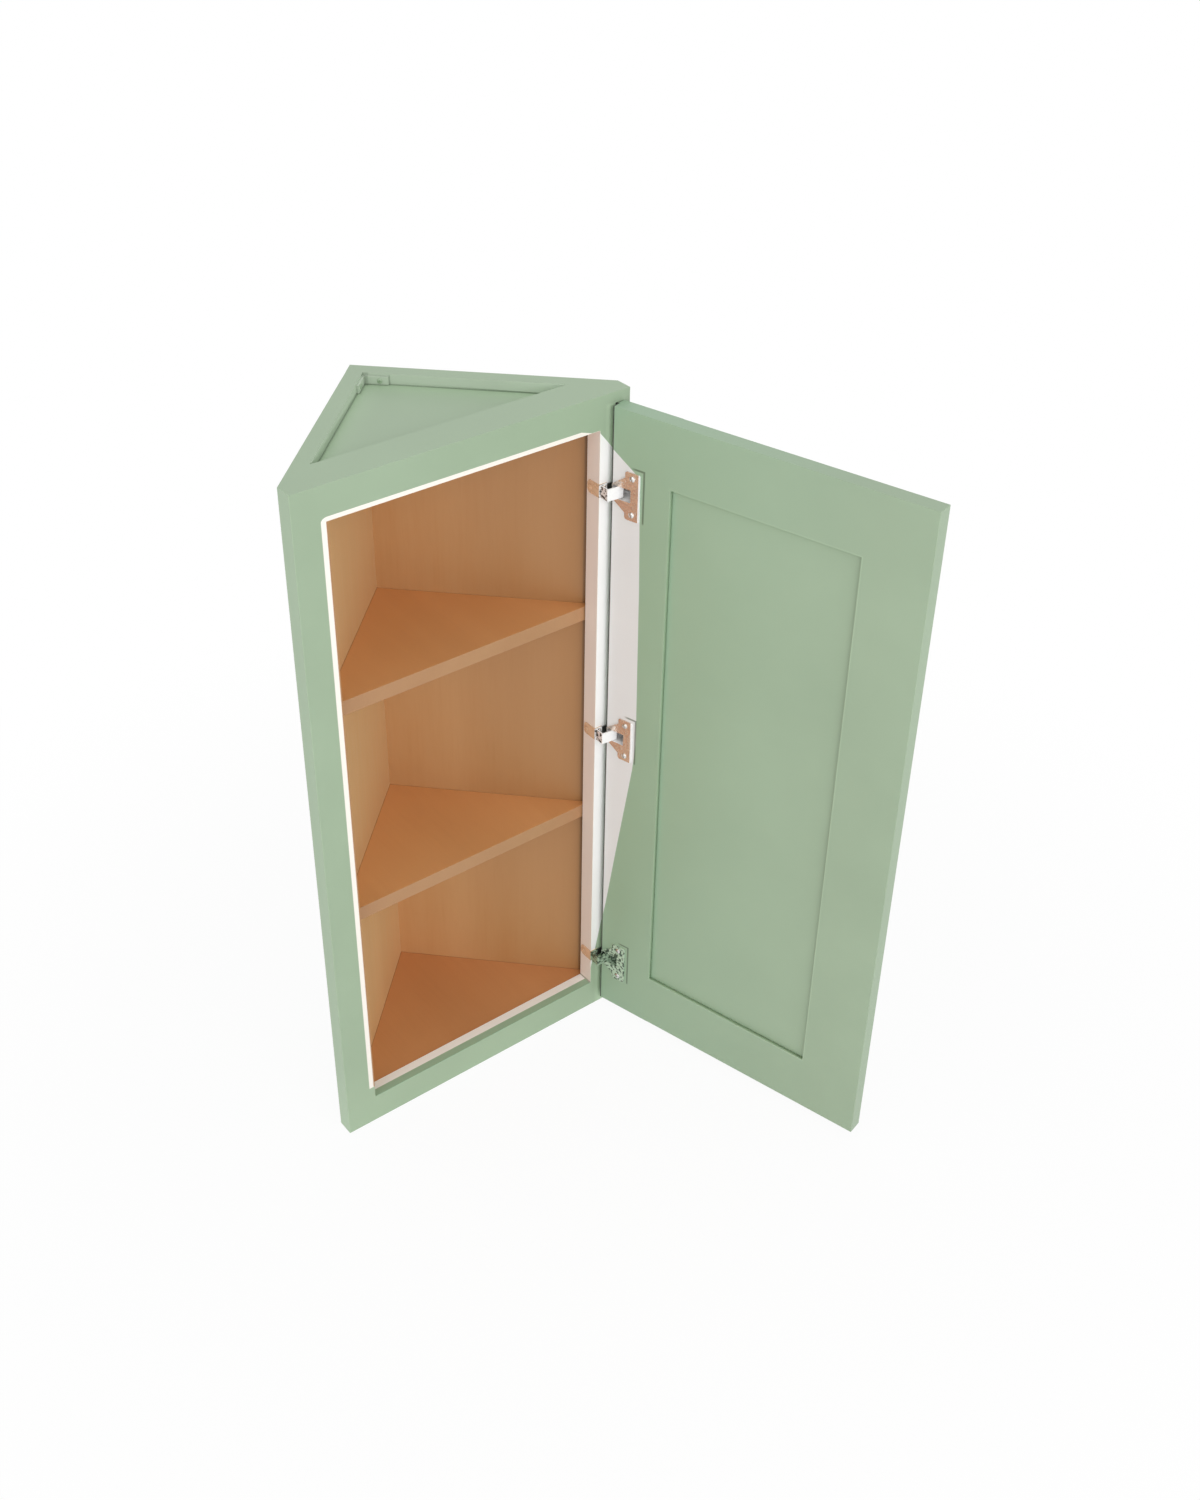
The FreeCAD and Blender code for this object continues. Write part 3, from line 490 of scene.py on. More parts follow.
def doorCoat(tree, place, colour, cloud):
    zone = doorZone
    along = placeAlong(tree, place, openDoor["corner"], openDoor["along"])
    inward = placeAlong(tree, place, openDoor["corner"], openDoor["inward"])
    height = axes(tree, place)[2]
    onInner = below(tree, inward, lap["past"])
    # painted shade: a little darker away from the hinges
    colour = lifted(tree, colour, remap(tree, along, zone["farFrom"], zone["farTo"], 1.0, zone["farLift"]))
    side = larger(tree, minus(tree, openDoor["stile"], along),
                  minus(tree, along, openDoor["width"] - openDoor["stile"]))
    ends = larger(tree, minus(tree, lowDoorRail, height), minus(tree, height, highDoorRail))
    ring = larger(tree, side, ends)     # distance outside the panel's opening
    # painted highlight on the arrises round the panel
    glow = allOf(tree, onInner, above(tree, ring, 0.0), below(tree, ring, zone["glow"]))
    colour = lifted(tree, colour, between(tree, glow, 1.0, zone["highlightLift"]))
    # painted light on the step down to the panel
    inBorder = allOf(
        tree, above(tree, inward, lap["past"]), below(tree, inward, zone["borderDeep"]),
        below(tree, ring, lap["skin"]))
    colour = lifted(tree, colour, between(tree, inBorder, 1.0, zone["borderLift"]))
    # greener towards the hinges, painted to offset the brown light thrown from the wood inside
    green = remap(tree, along, 0.0, zone["greenTo"], zone["greenShare"], 0.0)
    green = times(tree, green, minus(tree, 1.0, inBorder))
    colour = mixTone(tree, green, colour, zone["greenAgainstBounce"])
    slanted = plus(tree, height, times(tree, along, zone["topSlope"]))
    paleSide = allOf(
        tree, onInner, below(tree, slanted, zone["top"]),
        above(tree, minus(tree, paleWidth(tree, height), along), 0.0))
    colour = mixTone(tree, paleSide, colour, mixTone(tree, cloud, zone["paleDim"], zone["pale"]))
    shadow = times(tree, plateShadows(tree, along, height), onInner)
    colour = mixTone(tree, shadow, colour, paint["line"])
    # painted shade in the gap along the door's hinge edge
    onHead = above(tree, height, openDoor["head"] - lap["skin"])
    deep = between(tree, onHead, zone["gapDeep"], openDoor["thick"] / 2)
    gapShade = allOf(tree, below(tree, along, zone["gapTo"]), below(tree, minus(tree, inward, deep), 0.0))
    return mixTone(tree, gapShade, colour, paint["gapShade"])


# recess on top: painted light that evens out the shade on its walls and floor, dark joint lines along the
# walls with painted contact shade, a painted shadow line round the brace and painted shade in the corner
recessZone = {
    # painted light: the walls mixed towards a paler tone and lifted, the floor lifted near them, to even
    # out the shade
    "wallFoot": 0.0003, "wallTone": tone(178, 188, 174), "wallShare": 0.7,
    "backLift": 1.20, "sideLift": 1.36, "endFrom": 0.15, "endTo": 0.25, "endLift": 1.28,
    "floorLift": 1.22, "floorReach": 0.040,
    # dark joint lines with painted contact shade, a painted shadow line round the brace, painted shade in
    # the corner
    "floorLine": 0.0016, "wallLine": 0.0010, "lineShare": 0.42,
    "braceThick": 0.0025, "braceLine": 0.0014, "endShare": 0.35, "overShare": 0.12,
    "foldTo": 0.0065, "foldShare": 0.32,
}


# painted light that evens out the shade on the recess walls and on the floor near them
def paintedRecessLight(tree, fromWall, fromCorner, onSide, onWall):
    zone = recessZone
    wallLift = between(tree, onSide, zone["backLift"], zone["sideLift"])
    endLift = remap(tree, fromCorner, zone["endFrom"], zone["endTo"], 1.0, zone["endLift"])
    corner = squared(tree, remap(tree, fromWall, 0.0, zone["floorReach"], 1.0, 0.0))
    floorLift = between(tree, corner, 1.0, zone["floorLift"])
    return between(tree, onWall, floorLift, times(tree, wallLift, endLift))


def recessCoat(tree, place, colour, cloud):
    zone = recessZone
    x, y, z = axes(tree, place)
    depth = times(tree, y, -1.0)
    rise = minus(tree, z, box["roof"])
    fromWall = minus(tree, smaller(tree, x, depth), box["board"])
    fromCorner = minus(tree, larger(tree, x, depth), box["board"])
    onSide = calc(tree, "GREATER_THAN", depth, x)
    onWall = above(tree, rise, zone["wallFoot"], blur["hard"])
    # painted light: the walls mixed towards a paler tone
    colour = mixTone(tree, times(tree, onWall, zone["wallShare"]), colour, zone["wallTone"])
    colour = lifted(tree, colour, paintedRecessLight(tree, fromWall, fromCorner, onSide, onWall))
    beyond = minus(tree, fromCorner, braceHigh.x - box["board"])
    overBrace = minus(tree, rise, braceHigh.z - box["roof"])
    onBrace = below(tree, beyond, 0.0)
    fromFoot = minus(tree, fromWall, times(tree, onBrace, zone["braceThick"]))
    # dark joint line at the foot of the walls and of the brace, with painted contact shade
    joint = allOf(
        tree, below(tree, fromFoot, zone["floorLine"], blur["loose"]),
        below(tree, rise, zone["wallLine"], blur["clean"]))
    colour = mixTone(tree, times(tree, joint, zone["lineShare"]), colour, paint["line"])
    # painted shadow line round the brace
    edge = larger(tree, beyond, overBrace)
    braceShadow = allOf(
        tree, onWall, above(tree, edge, 0.0), below(tree, edge, zone["braceLine"]),
        between(tree, above(tree, beyond, 0.0), zone["overShare"], zone["endShare"]))
    # painted shade in the corner where the walls meet
    cornerShade = times(tree, below(tree, fromCorner, zone["foldTo"], blur["broad"]), zone["foldShare"])
    return mixTone(tree, anyOf(tree, braceShadow, cornerShade), colour, paint["line"])


def sagePaint(name, coat=None):
    material, tree, shader, place = newMaterial(name)
    skin = useGroup(tree, paintSkin, {
        "Place": place, "Cloud Scale": paint["cloudScale"], "Peel Scale": paint["peelScale"]})
    colour = mixTone(tree, skin["Cloud"], paint["deep"], paint["light"])
    if coat:
        colour = coat(tree, place, colour, skin["Cloud"])
    rough = remap(tree, skin["Gloss"], *paint["glossRange"], *paint["rough"])
    feed(tree, shader, colour, rough, skin["Peel"], paint["peelStrength"], paint["peelDepth"])
    return material


boxPaint = sagePaint("sagePaintBox")
recessPaint = sagePaint("sagePaintRecess", recessCoat)
framePaint = sagePaint("sagePaintFrame", frameCoat)
doorPaint = sagePaint("sagePaintDoor", doorCoat)

# shelves and floor: dark line along the walls, a joint line with painted contact shade; painted light that
# makes them a little paler towards the walls
shelfZone = {"reach": 0.12, "rearLift": 1.06, "frontLift": 0.93, "line": 0.0009, "lineShare": 0.45}


def shelfCoat(tree, place, colour, dark):
    zone = shelfZone
    x, y = axes(tree, place)[:2]
    fromWall = minus(tree, smaller(tree, x, times(tree, y, -1.0)), box["board"])
    lift = remap(tree, fromWall, 0.0, zone["reach"], zone["rearLift"], zone["frontLift"])
    colour = lifted(tree, colour, lift)
    line = times(tree, below(tree, fromWall, zone["line"], blur["clean"]), zone["lineShare"])
    return mixTone(tree, line, colour, dark)


# walls: a painted shadow line behind the stiles; painted shade that makes them browner at the hinge end and
# offsets the pale light from the white stile; painted light that makes them paler in the corner and at the
# foot
wallZone = {
    "farFrom": 0.10, "farTo": 0.25, "farShare": 0.5, "farTone": tone(150, 102, 55),
    "cornerTo": 0.16, "cornerLift": 1.15, "footRise": 0.36, "footLift": 1.14,
    "lineFrom": 0.2715, "lineShare": 0.6,
}


def wallCoat(tree, place, colour, dark):
    zone = wallZone
    x, y, z = axes(tree, place)
    depth = times(tree, y, -1.0)
    far = remap(tree, x, zone["farFrom"], zone["farTo"], 0.0, zone["farShare"])
    colour = mixTone(tree, far, colour, zone["farTone"])
    onBack = calc(tree, "GREATER_THAN", x, depth)
    corner = remap(tree, x, box["board"], zone["cornerTo"], zone["cornerLift"], 1.0)
    foot = remap(tree, z, 0.0, zone["footRise"], zone["footLift"], 1.0)
    colour = lifted(tree, colour, times(tree, between(tree, onBack, 1.0, corner), foot))
    atStile = above(tree, larger(tree, x, depth), zone["lineFrom"], blur["hazy"])
    return mixTone(tree, times(tree, atStile, zone["lineShare"]), colour, dark)


# which way each board's grain runs and how much it is drawn out
grains = {
    "upright": {"turn": 0, "stretch": (1.0, 1.0, 0.06)},
    "level": {"turn": 45, "stretch": (0.06, 1.0, 1.0)},
    "edging": {"turn": 45, "stretch": (0.05, 1.0, 1.0)},
    "dowel": {"turn": 45, "stretch": (0.2, 1.0, 1.0)},
}
woods = {
    "wallWood": {"deep": (183, 136, 88), "light": (190, 146, 100), "grain": "upright", "coat": wallCoat},
    # the side wall's wood is the back wall's wood in a paler tone, painted light that makes up for its
    # shade
    "sideWood": {"deep": (209, 169, 121), "light": (217, 177, 129), "grain": "upright", "coat": wallCoat},
    "shelfWood": {"deep": (211, 153, 98), "light": (218, 161, 106), "grain": "level", "coat": shelfCoat},
    "floorWood": {"deep": (199, 139, 89), "light": (206, 147, 97), "grain": "level", "coat": shelfCoat},
    "edgeWood": {"deep": (179, 133, 94), "light": (186, 141, 101), "grain": "edging"},
    "dowelWood": {"deep": (190, 156, 112), "light": (208, 176, 132), "grain": "dowel"},
}
woodSurface = {
    "figureScale": 14.0, "fibreScale": 240.0, "poreShare": 0.05, "poreDark": 0.55, "lineDark": 0.3,
    "reliefRange": (0.3, 0.7), "rough": (0.42, 0.58), "reliefStrength": 0.12, "reliefDepth": 0.0002,
}


def woodFinish(name):
    values = woods[name]
    grain = grains[values["grain"]]
    surface = woodSurface
    material, tree, shader, place = newMaterial(name)
    turn = (0, 0, math.radians(grain["turn"]))
    turned = put(tree, "ShaderNodeMapping", {"Vector": place, "Rotation": turn}).outputs[0]
    drawn = put(tree, "ShaderNodeMapping", {"Vector": turned, "Scale": grain["stretch"]}).outputs[0]
    figure = useGroup(tree, woodFigure, {
        "Place": drawn, "Figure Scale": surface["figureScale"], "Fibre Scale": surface["fibreScale"]})
    deep = tone(*values["deep"])
    colour = mixTone(tree, figure["Figure"], deep, tone(*values["light"]))
    pores = times(tree, figure["Pores"], surface["poreShare"])
    colour = mixTone(tree, pores, colour, darker(deep, surface["poreDark"]))
    if "coat" in values:
        colour = values["coat"](tree, place, colour, darker(deep, surface["lineDark"]))
    rough = remap(tree, figure["Relief"], *surface["reliefRange"], *surface["rough"])
    feed(tree, shader, colour, rough, figure["Relief"], surface["reliefStrength"], surface["reliefDepth"])
    return material


wood = {name: woodFinish(name) for name in woods}

# metals: a bright and a dull tone mixed by the blotch noise, faint smudges on most, painted reflections on
# the legs; ripple is a relief that follows the blotches
plainMetal = {"metal": 0.0, "brushScale": 1500.0, "blotchScale": 90.0, "blotch": (0.0, 1.0),
              "depth": 0.00001, "brushStrength": 0.08, "smudgeShare": 0.7, "brushShare": 0.3, "wornTo": 0.9}
metals = {
    # the warm tint of the plated cup is partly a painted reflection of the wood inside
    "hingeChrome": {"bright": (248, 234, 222), "dull": (234, 216, 202), "rough": (0.06, 0.18),
                    "metal": 0.74, "blotchScale": 280.0, "depth": 0.0006, "ripple": 0.30},
    # a copper tone on plated steel with little metal: a painted reflection of the wood inside
    "stripChrome": {"bright": (240, 210, 178), "dull": (222, 190, 158), "rough": (0.20, 0.32),
                    "metal": 0.25},
    # plain white with no metal: a painted highlight standing for the glint on the plated arm
    "nickelGlint": {"bright": (253, 253, 253), "dull": (249, 249, 249), "rough": (0.24, 0.34)},
    "slotSteel": {"bright": (250, 250, 250), "dull": (180, 176, 172), "rough": (0.20, 0.34)},
    # dark and bright blotches: painted reflections on the plated legs
    "legSteel": {"bright": (246, 246, 246), "dull": (58, 56, 54), "rough": (0.16, 0.30), "metal": 0.2,
                 "blotchScale": 260.0, "blotch": (0.20, 0.60)},
    "paintedArm": {"bright": (150, 174, 148), "dull": (52, 70, 52), "rough": (0.30, 0.42),
                   "brushScale": 900.0, "blotchScale": 240.0, "blotch": (0.15, 0.60)},
    "paintedPlate": {"bright": (188, 212, 188), "dull": (58, 78, 60), "rough": (0.30, 0.42),
                     "brushScale": 900.0, "blotchScale": 270.0, "blotch": (0.22, 0.58)},
    "screwSteel": {"bright": (222, 222, 220), "dull": (196, 195, 192), "rough": (0.18, 0.34), "metal": 0.9,
                   "brushScale": 2200.0, "blotchScale": 160.0, "depth": 0.00002},
}


def metalFinish(name):
    values = {**plainMetal, **metals[name]}
    material, tree, shader, place = newMaterial(name)
    skin = useGroup(tree, metalSkin, {
        "Place": place, "Brush Scale": values["brushScale"], "Blotch Scale": values["blotchScale"]})
    blotch = remap(tree, skin["Smudge And Reflection"], *values["blotch"])
    colour = mixTone(tree, blotch, tone(*values["bright"]), tone(*values["dull"]))
    worn = plus(tree, times(tree, skin["Smudge And Reflection"], values["smudgeShare"]),
                times(tree, skin["Brush"], values["brushShare"]))
    rough = remap(tree, worn, 0.0, values["wornTo"], *values["rough"])
    shader.inputs["Metallic"].default_value = values["metal"]
    relief = skin["Smudge And Reflection"] if "ripple" in values else skin["Brush"]
    strength = values.get("ripple", values["brushStrength"])
    feed(tree, shader, colour, rough, relief, strength, values["depth"])
    return material


metal = {name: metalFinish(name) for name in metals}
finishes = {**wood, **metal, "boxPaint": boxPaint}
print("materials:", len(bpy.data.materials))

# mesh work: lengths in metres, angles in degrees
meshWork = {"weld": 0.000002, "flat": 0.4, "arris": 35, "sharp": 34, "roundness": 0.5, "near": 0.0004}
near = meshWork["near"]
# cosines to a direction: a face that looks that way or plainly does, an edge that is level or follows it
aim = {"looks": 0.5, "plainly": 0.9, "level": 0.1, "follows": 0.99}


def close(first, second):
    return abs(first - second) < near


def looks(normal, direction):
    return normal.dot(direction) > aim["looks"]


def everyEdge(middle, run):
    return True


# a copy of a node's solid with its loose triangles joined
def joined(nodeName):
    work = bmesh.new()
    work.from_mesh(cadNodes[nodeName].data)
    bmesh.ops.remove_doubles(work, verts=work.verts[:], dist=meshWork["weld"])
    return work


# the same with whole flat faces, ready for mesh work
def welded(nodeName):
    work = joined(nodeName)
    bmesh.ops.dissolve_limit(work, angle_limit=math.radians(meshWork["flat"]),
                             verts=work.verts[:], edges=work.edges[:])
    return work


def cutAcross(work, spot, normal):
    parts = work.verts[:] + work.edges[:] + work.faces[:]
    bmesh.ops.bisect_plane(work, geom=parts, dist=meshWork["weld"], plane_co=spot, plane_no=normal)


def softenEdges(work, wanted, width, segments=2):
    chosen = []
    for edge in work.edges:
        if not edge.is_manifold or edge.calc_face_angle(0.0) < math.radians(meshWork["arris"]):
            continue
        first, second = (vert.co for vert in edge.verts)
        if wanted((first + second) / 2, (second - first).normalized()):
            chosen.append(edge)
    bmesh.ops.bevel(work, geom=chosen, offset=width, offset_type="OFFSET", segments=segments,
                    profile=meshWork["roundness"], affect="EDGES", clamp_overlap=True)


def smoothFaces(mesh):
    for polygon in mesh.polygons:
        polygon.use_smooth = True
    mesh.set_sharp_from_angle(angle=math.radians(meshWork["sharp"]))


def finishPiece(nodeName, work, body, materials, choose=None):
    mesh = bpy.data.meshes.new(nodeName + "_finish")
    work.normal_update()
    work.to_mesh(mesh)
    work.free()
    mesh.materials.clear()
    for material in materials:
        mesh.materials.append(material)
    for polygon in mesh.polygons:
        polygon.material_index = choose(polygon.center, polygon.normal) if choose else 0
    smoothFaces(mesh)
    piece = bpy.data.objects.new(nodeName + "_finish", mesh)
    scene.collection.objects.link(piece)
    even = piece.modifiers.new("evenShading", "WEIGHTED_NORMAL")
    even.keep_sharp = True
    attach(piece, body)
    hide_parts(nodeName)


# box: brown wood inside, paint outside and in the recess on top
boxEdge = {"soften": 0.0004, "shelfSoften": 0.0005, "braceSoften": 0.0003}
boxPanels = {
    "back_panel": {"inner": Vector((0, -1, 0)), "wood": wood["wallWood"]},
    "side_panel": {"inner": Vector((1, 0, 0)), "wood": wood["sideWood"]},
}


def panelPart(height, inside):
    if not inside or height <= box["floorUnder"]:
        return 0
    return 1 if height < box["roof"] else 2


def atBoxEnd(height):
    return close(height, box["height"]) or close(height, 0)


def shelfFront(middle, run):
    return close(onFace(middle)[1], -box["setback"]) and abs(run.z) < aim["level"]


for nodeName, values in boxPanels.items():
    inner = values["inner"]
    work = welded(nodeName)
    for level in (box["roof"], box["floorUnder"]):
        cutAcross(work, up * level, up)
    softenEdges(work, lambda middle, run: atBoxEnd(middle.z) and close(middle.dot(inner), 0),
                boxEdge["soften"])
    finishPiece(nodeName, work, "cabinet", [boxPaint, values["wood"], recessPaint],
                lambda centre, normal: panelPart(centre.z, looks(normal, inner)))

finishPiece("top_panel", welded("top_panel"), "cabinet", [recessPaint, wood["shelfWood"]],
            lambda centre, normal: 0 if looks(normal, up) else 1)
finishPiece("bottom_panel", welded("bottom_panel"), "cabinet", [boxPaint, wood["floorWood"]],
            lambda centre, normal: 0 if looks(normal, -up) else 1)
for nodeName in ("upper_shelf", "lower_shelf"):
    work = welded(nodeName)
    softenEdges(work, shelfFront, boxEdge["shelfSoften"])
    finishPiece(nodeName, work, "cabinet", [wood["shelfWood"], wood["edgeWood"]],
                lambda centre, normal: 1 if looks(normal, face["outward"]) else 0)
finishPiece("top_cleat", welded("top_cleat"), "cabinet", [boxPaint])
work = welded("corner_brace")
softenEdges(work, everyEdge, boxEdge["braceSoften"])
finishPiece("corner_brace", work, "cabinet", [recessPaint])
print("box: panels, shelves, cleat and brace")


# stiles and rails: cut at the joints' levels, so that an eased arris can end there, then painted
def easeMembers(nodeNames, levels, wanted, width, body, material):
    for nodeName in nodeNames:
        work = welded(nodeName)
        for level in levels:
            cutAcross(work, up * level, up)
        softenEdges(work, wanted, width)
        finishPiece(nodeName, work, body, [material])


# face frame: arrises eased everywhere but across the flush joints
frameFinish = {"width": 0.0005, "body": "cabinet", "material": framePaint}


def stileArris(middle, run):
    along, outward, height = onFace(middle)
    joint = close(along, face["stile"]) or close(along, face["length"] - face["stile"])
    if abs(run.z) > aim["plainly"]:
        return not joint or lowRail + near < height < highRail - near
    return atBoxEnd(height) and not joint and not close(outward, 0)


def railArris(middle, run):
    outward, height = onFace(middle)[1:]
    onBack = close(outward, 0) and atBoxEnd(height)
    return abs(run.dot(face["along"])) > aim["follows"] and not onBack


easeMembers(("frame_hinge_stile", "frame_latch_stile"), (lowRail, highRail), stileArris, **frameFinish)
easeMembers(("frame_top_rail", "frame_bottom_rail"), (), railArris, **frameFinish)
print("face frame: two stiles and two rails")

# door: the same, and the panel as it is
doorFinish = {"width": 0.0006, "body": "door", "material": doorPaint}


def onDoorFaces(inward):
    return close(inward, 0) or close(inward, openDoor["thick"])


def doorStileArris(middle, run):
    along, inward, height = onDoor(middle)
    joint = close(along, openDoor["stile"]) or close(along, openDoor["width"] - openDoor["stile"])
    if abs(run.z) > aim["plainly"]:
        return onDoorFaces(inward) and (not joint or lowDoorRail + near < height < highDoorRail - near)
    atEnd = close(height, openDoor["foot"]) or close(height, openDoor["head"])
    outerSide = close(along, 0) or close(along, openDoor["width"])
    return atEnd and (onDoorFaces(inward) or outerSide)


def doorRailArris(middle, run):
    return onDoorFaces(onDoor(middle)[1]) and abs(run.dot(openDoor["along"])) > aim["follows"]


easeMembers(("door_hinge_stile", "door_latch_stile"), (lowDoorRail, highDoorRail),
            doorStileArris, **doorFinish)
easeMembers(("door_top_rail", "door_bottom_rail"), (), doorRailArris, **doorFinish)
finishPiece("door_panel", welded("door_panel"), "door", [doorPaint])
print("door: stiles, rails and panel")

# hinges: pressed and plated, so every arris is rolled over; the lowest one is painted over
hingeEdge = {"cup": 0.00035, "arm": 0.00045, "bracket": 0.00035, "segments": 3,
             "highlightRim": 0.0018, "footTop": 0.0252}
# the cup's far rim takes the arm's plain white: a painted highlight along its edge
rimHighlightFrom = plate["end"] - hingeEdge["highlightRim"]


def cupSide(centre, normal):
    along, inward = onDoor(centre)[:2]
    if inward > near:
        return 1
    return 2 if along > rimHighlightFrom else 0


def armSide(centre, normal):
    sideLeg = normal.dot(face["along"]) > aim["plainly"]
    return 1 if sideLeg or onFace(centre)[1] < hingeEdge["footTop"] else 0


def bracketSide(centre, normal):
    return 1 if onFace(centre)[1] > face["thick"] - near else 0


hingeParts = {
    "cup": {"body": "door", "choose": cupSide, "painted": ["paintedPlate"] * 3,
            "plated": ["hingeChrome", "slotSteel", "nickelGlint"]},
    "arm": {"body": "cabinet", "choose": armSide, "painted": ["paintedArm"] * 2,
            "plated": ["nickelGlint", "legSteel"]},
    "bracket": {"body": "cabinet", "choose": bracketSide, "painted": ["stripChrome", "paintedArm"],
                "plated": ["stripChrome", "legSteel"]},
}
for level in hingeLevels:
    for kind, values in hingeParts.items():
        nodeName = f"{level}_hinge_{kind}"
        work = welded(nodeName)
        softenEdges(work, everyEdge, hingeEdge[kind], hingeEdge["segments"])
        if kind == "cup":
            cutAcross(work, openDoor["corner"] + openDoor["along"] * rimHighlightFrom, openDoor["along"])
        names = values["painted" if level == "bottom" else "plated"]
        finishPiece(nodeName, work, values["body"], [metal[name] for name in names],
                    values["choose"])
print("hinges: cups, arms and brackets")

# screws and rivets: one tree, set on the seats of the solids
screwShape = {
    "round": 40, "rings": 32, "shankRound": 20,     # sides of the meshes
    "dome": 0.65, "recessDepth": 0.55,              # of the head's rise
    "recessLength": 1.04, "recessWidth": 0.27,      # of the head's radius
}


def screwTree():
    tree = bpy.data.node_groups.new("crossHeadScrews", "GeometryNodeTree")
    takes = [("Seats", "NodeSocketGeometry"), ("Cross Recess", "NodeSocketBool"),
             ("Finish", "NodeSocketMaterial")]
    for label in ("Head Radius", "Head Rise", "Dome Radius", "Shank Radius", "Shank Length",
                  "Recess Length", "Recess Width", "Recess Depth"):
        takes.append((label, "NodeSocketFloat"))
    for label, kind in takes:
        tree.interface.new_socket(name=label, in_out="INPUT", socket_type=kind)
    tree.interface.new_socket(name="Screws", in_out="OUTPUT", socket_type="NodeSocketGeometry")
    given = put(tree, "NodeGroupInput").outputs

    def raised(mesh, height, turn=0.0):
        spot = put(tree, "ShaderNodeCombineXYZ", {2: height}).outputs[0]
        return put(tree, "GeometryNodeTransform", {
            "Geometry": mesh, "Translation": spot, "Rotation": (0, 0, turn)}).outputs[0]

    dome = put(tree, "GeometryNodeMeshUVSphere", {
        "Segments": screwShape["round"], "Rings": screwShape["rings"],
        "Radius": given["Dome Radius"]}).outputs[0]
    dome = raised(dome, minus(tree, given["Head Rise"], given["Dome Radius"]))
    drum = put(tree, "GeometryNodeMeshCylinder", {
        "Vertices": screwShape["round"], "Radius": given["Head Radius"],
        "Depth": given["Head Rise"]}).outputs[0]
    drum = raised(drum, times(tree, given["Head Rise"], 0.5))
    head = put(tree, "GeometryNodeMeshBoolean", operation="INTERSECT", solver="EXACT")
    tree.links.new(dome, head.inputs["Mesh 2"])
    tree.links.new(drum, head.inputs["Mesh 2"])
    bladeSize = put(tree, "ShaderNodeCombineXYZ", {
        0: given["Recess Length"], 1: given["Recess Width"],
        2: times(tree, given["Recess Depth"], 2.0)}).outputs[0]
    blade = put(tree, "GeometryNodeMeshCube", {"Size": bladeSize}).outputs[0]
    cut = put(tree, "GeometryNodeMeshBoolean", operation="DIFFERENCE", solver="EXACT")
    tree.links.new(head.outputs[0], cut.inputs["Mesh 1"])
    for turn in (0, 90):
        tree.links.new(raised(blade, given["Head Rise"], math.radians(turn)), cut.inputs["Mesh 2"])
    top = put(tree, "GeometryNodeSwitch", {
        "Switch": given["Cross Recess"], "False": head.outputs[0], "True": cut.outputs[0],
    }, input_type="GEOMETRY").outputs[0]
    shank = put(tree, "GeometryNodeMeshCylinder", {
        "Vertices": screwShape["shankRound"], "Radius": given["Shank Radius"],
        "Depth": given["Shank Length"]}).outputs[0]
    shank = raised(shank, times(tree, given["Shank Length"], -0.5))
    whole = put(tree, "GeometryNodeJoinGeometry")
    tree.links.new(top, whole.inputs[0])
    tree.links.new(shank, whole.inputs[0])
    facing = put(tree, "GeometryNodeInputNamedAttribute", {"Name": "facing"}, data_type="FLOAT_VECTOR")
    turn = put(tree, "FunctionNodeAlignRotationToVector", {"Vector": facing.outputs[0]}, axis="Z")
    placed = put(tree, "GeometryNodeInstanceOnPoints", {
        "Points": given["Seats"], "Instance": whole.outputs[0], "Rotation": turn.outputs[0]})
    real = put(tree, "GeometryNodeRealizeInstances", {"Geometry": placed.outputs[0]})
    finished = put(tree, "GeometryNodeSetMaterial", {
        "Geometry": real.outputs[0], "Material": given["Finish"]})
    put(tree, "NodeGroupOutput", {0: finished.outputs[0]})
    return tree


# the points of each separate solid in a node
def solidPoints(nodeName):
    work = joined(nodeName)
    left = set(work.verts)
    solids = []
    while left:
        group = {left.pop()}
        waiting = list(group)
        while waiting:
            vert = waiting.pop()
            for link in vert.link_edges:
                other = link.other_vert(vert)
                if other in left:
                    left.discard(other)
                    group.add(other)
                    waiting.append(other)
        solids.append([vert.co.copy() for vert in group])
    work.free()
    return solids


# where each screw of a node is seated and which way its head looks
def screwSeats(nodeName, outward, rise):
    seats = []
    for spots in solidPoints(nodeName):
        low = Vector([min(spot[axis] for spot in spots) for axis in range(3)])
        high = Vector([max(spot[axis] for spot in spots) for axis in range(3)])
        middle = (low + high) / 2
        facing = outward(middle)
        top = max((spot - middle).dot(facing) for spot in spots)
        seats.append((middle + facing * (top - rise), facing))
    return sorted(seats, key=lambda seat: tuple(seat[0]))


plainScrew = {"body": "cabinet", "slot": "screw_steel", "finish": "screwSteel", "cross": True}
screwSets = {
    "hinge_cup_screws": {
        "body": "door", "head": 0.0035, "rise": 0.00196, "shank": 0.00175, "length": 0.0135,
        "outward": lambda spot: -openDoor["inward"]},
    # the frame screws take the strip's copper tone, a painted reflection of the wood inside
    "hinge_frame_screws": {
        "finish": "stripChrome", "head": 0.0035, "rise": 0.0010, "shank": 0.00175, "length": 0.0230,
        "outward": lambda spot: face["along"]},
    "hinge_adjusters": {
        "head": 0.0030, "rise": 0.0012, "shank": 0.0015, "length": 0.0085,
        "outward": lambda spot: face["outward"]},
    "corner_brace_screws": {
        "finish": "boxPaint", "head": 0.0030, "rise": 0.00168, "shank": 0.0015, "length": 0.0135,
        "outward": lambda spot: boxPanels["back_panel" if spot.x > -spot.y else "side_panel"]["inner"]},
    "hinge_rivets": {
        "slot": "hinge_chrome", "finish": "hingeChrome", "cross": False,
        "head": 0.0014, "rise": 0.0006, "shank": 0.0008, "length": 0.0027,
        "outward": lambda spot: face["outward"]},
}
screws = screwTree()
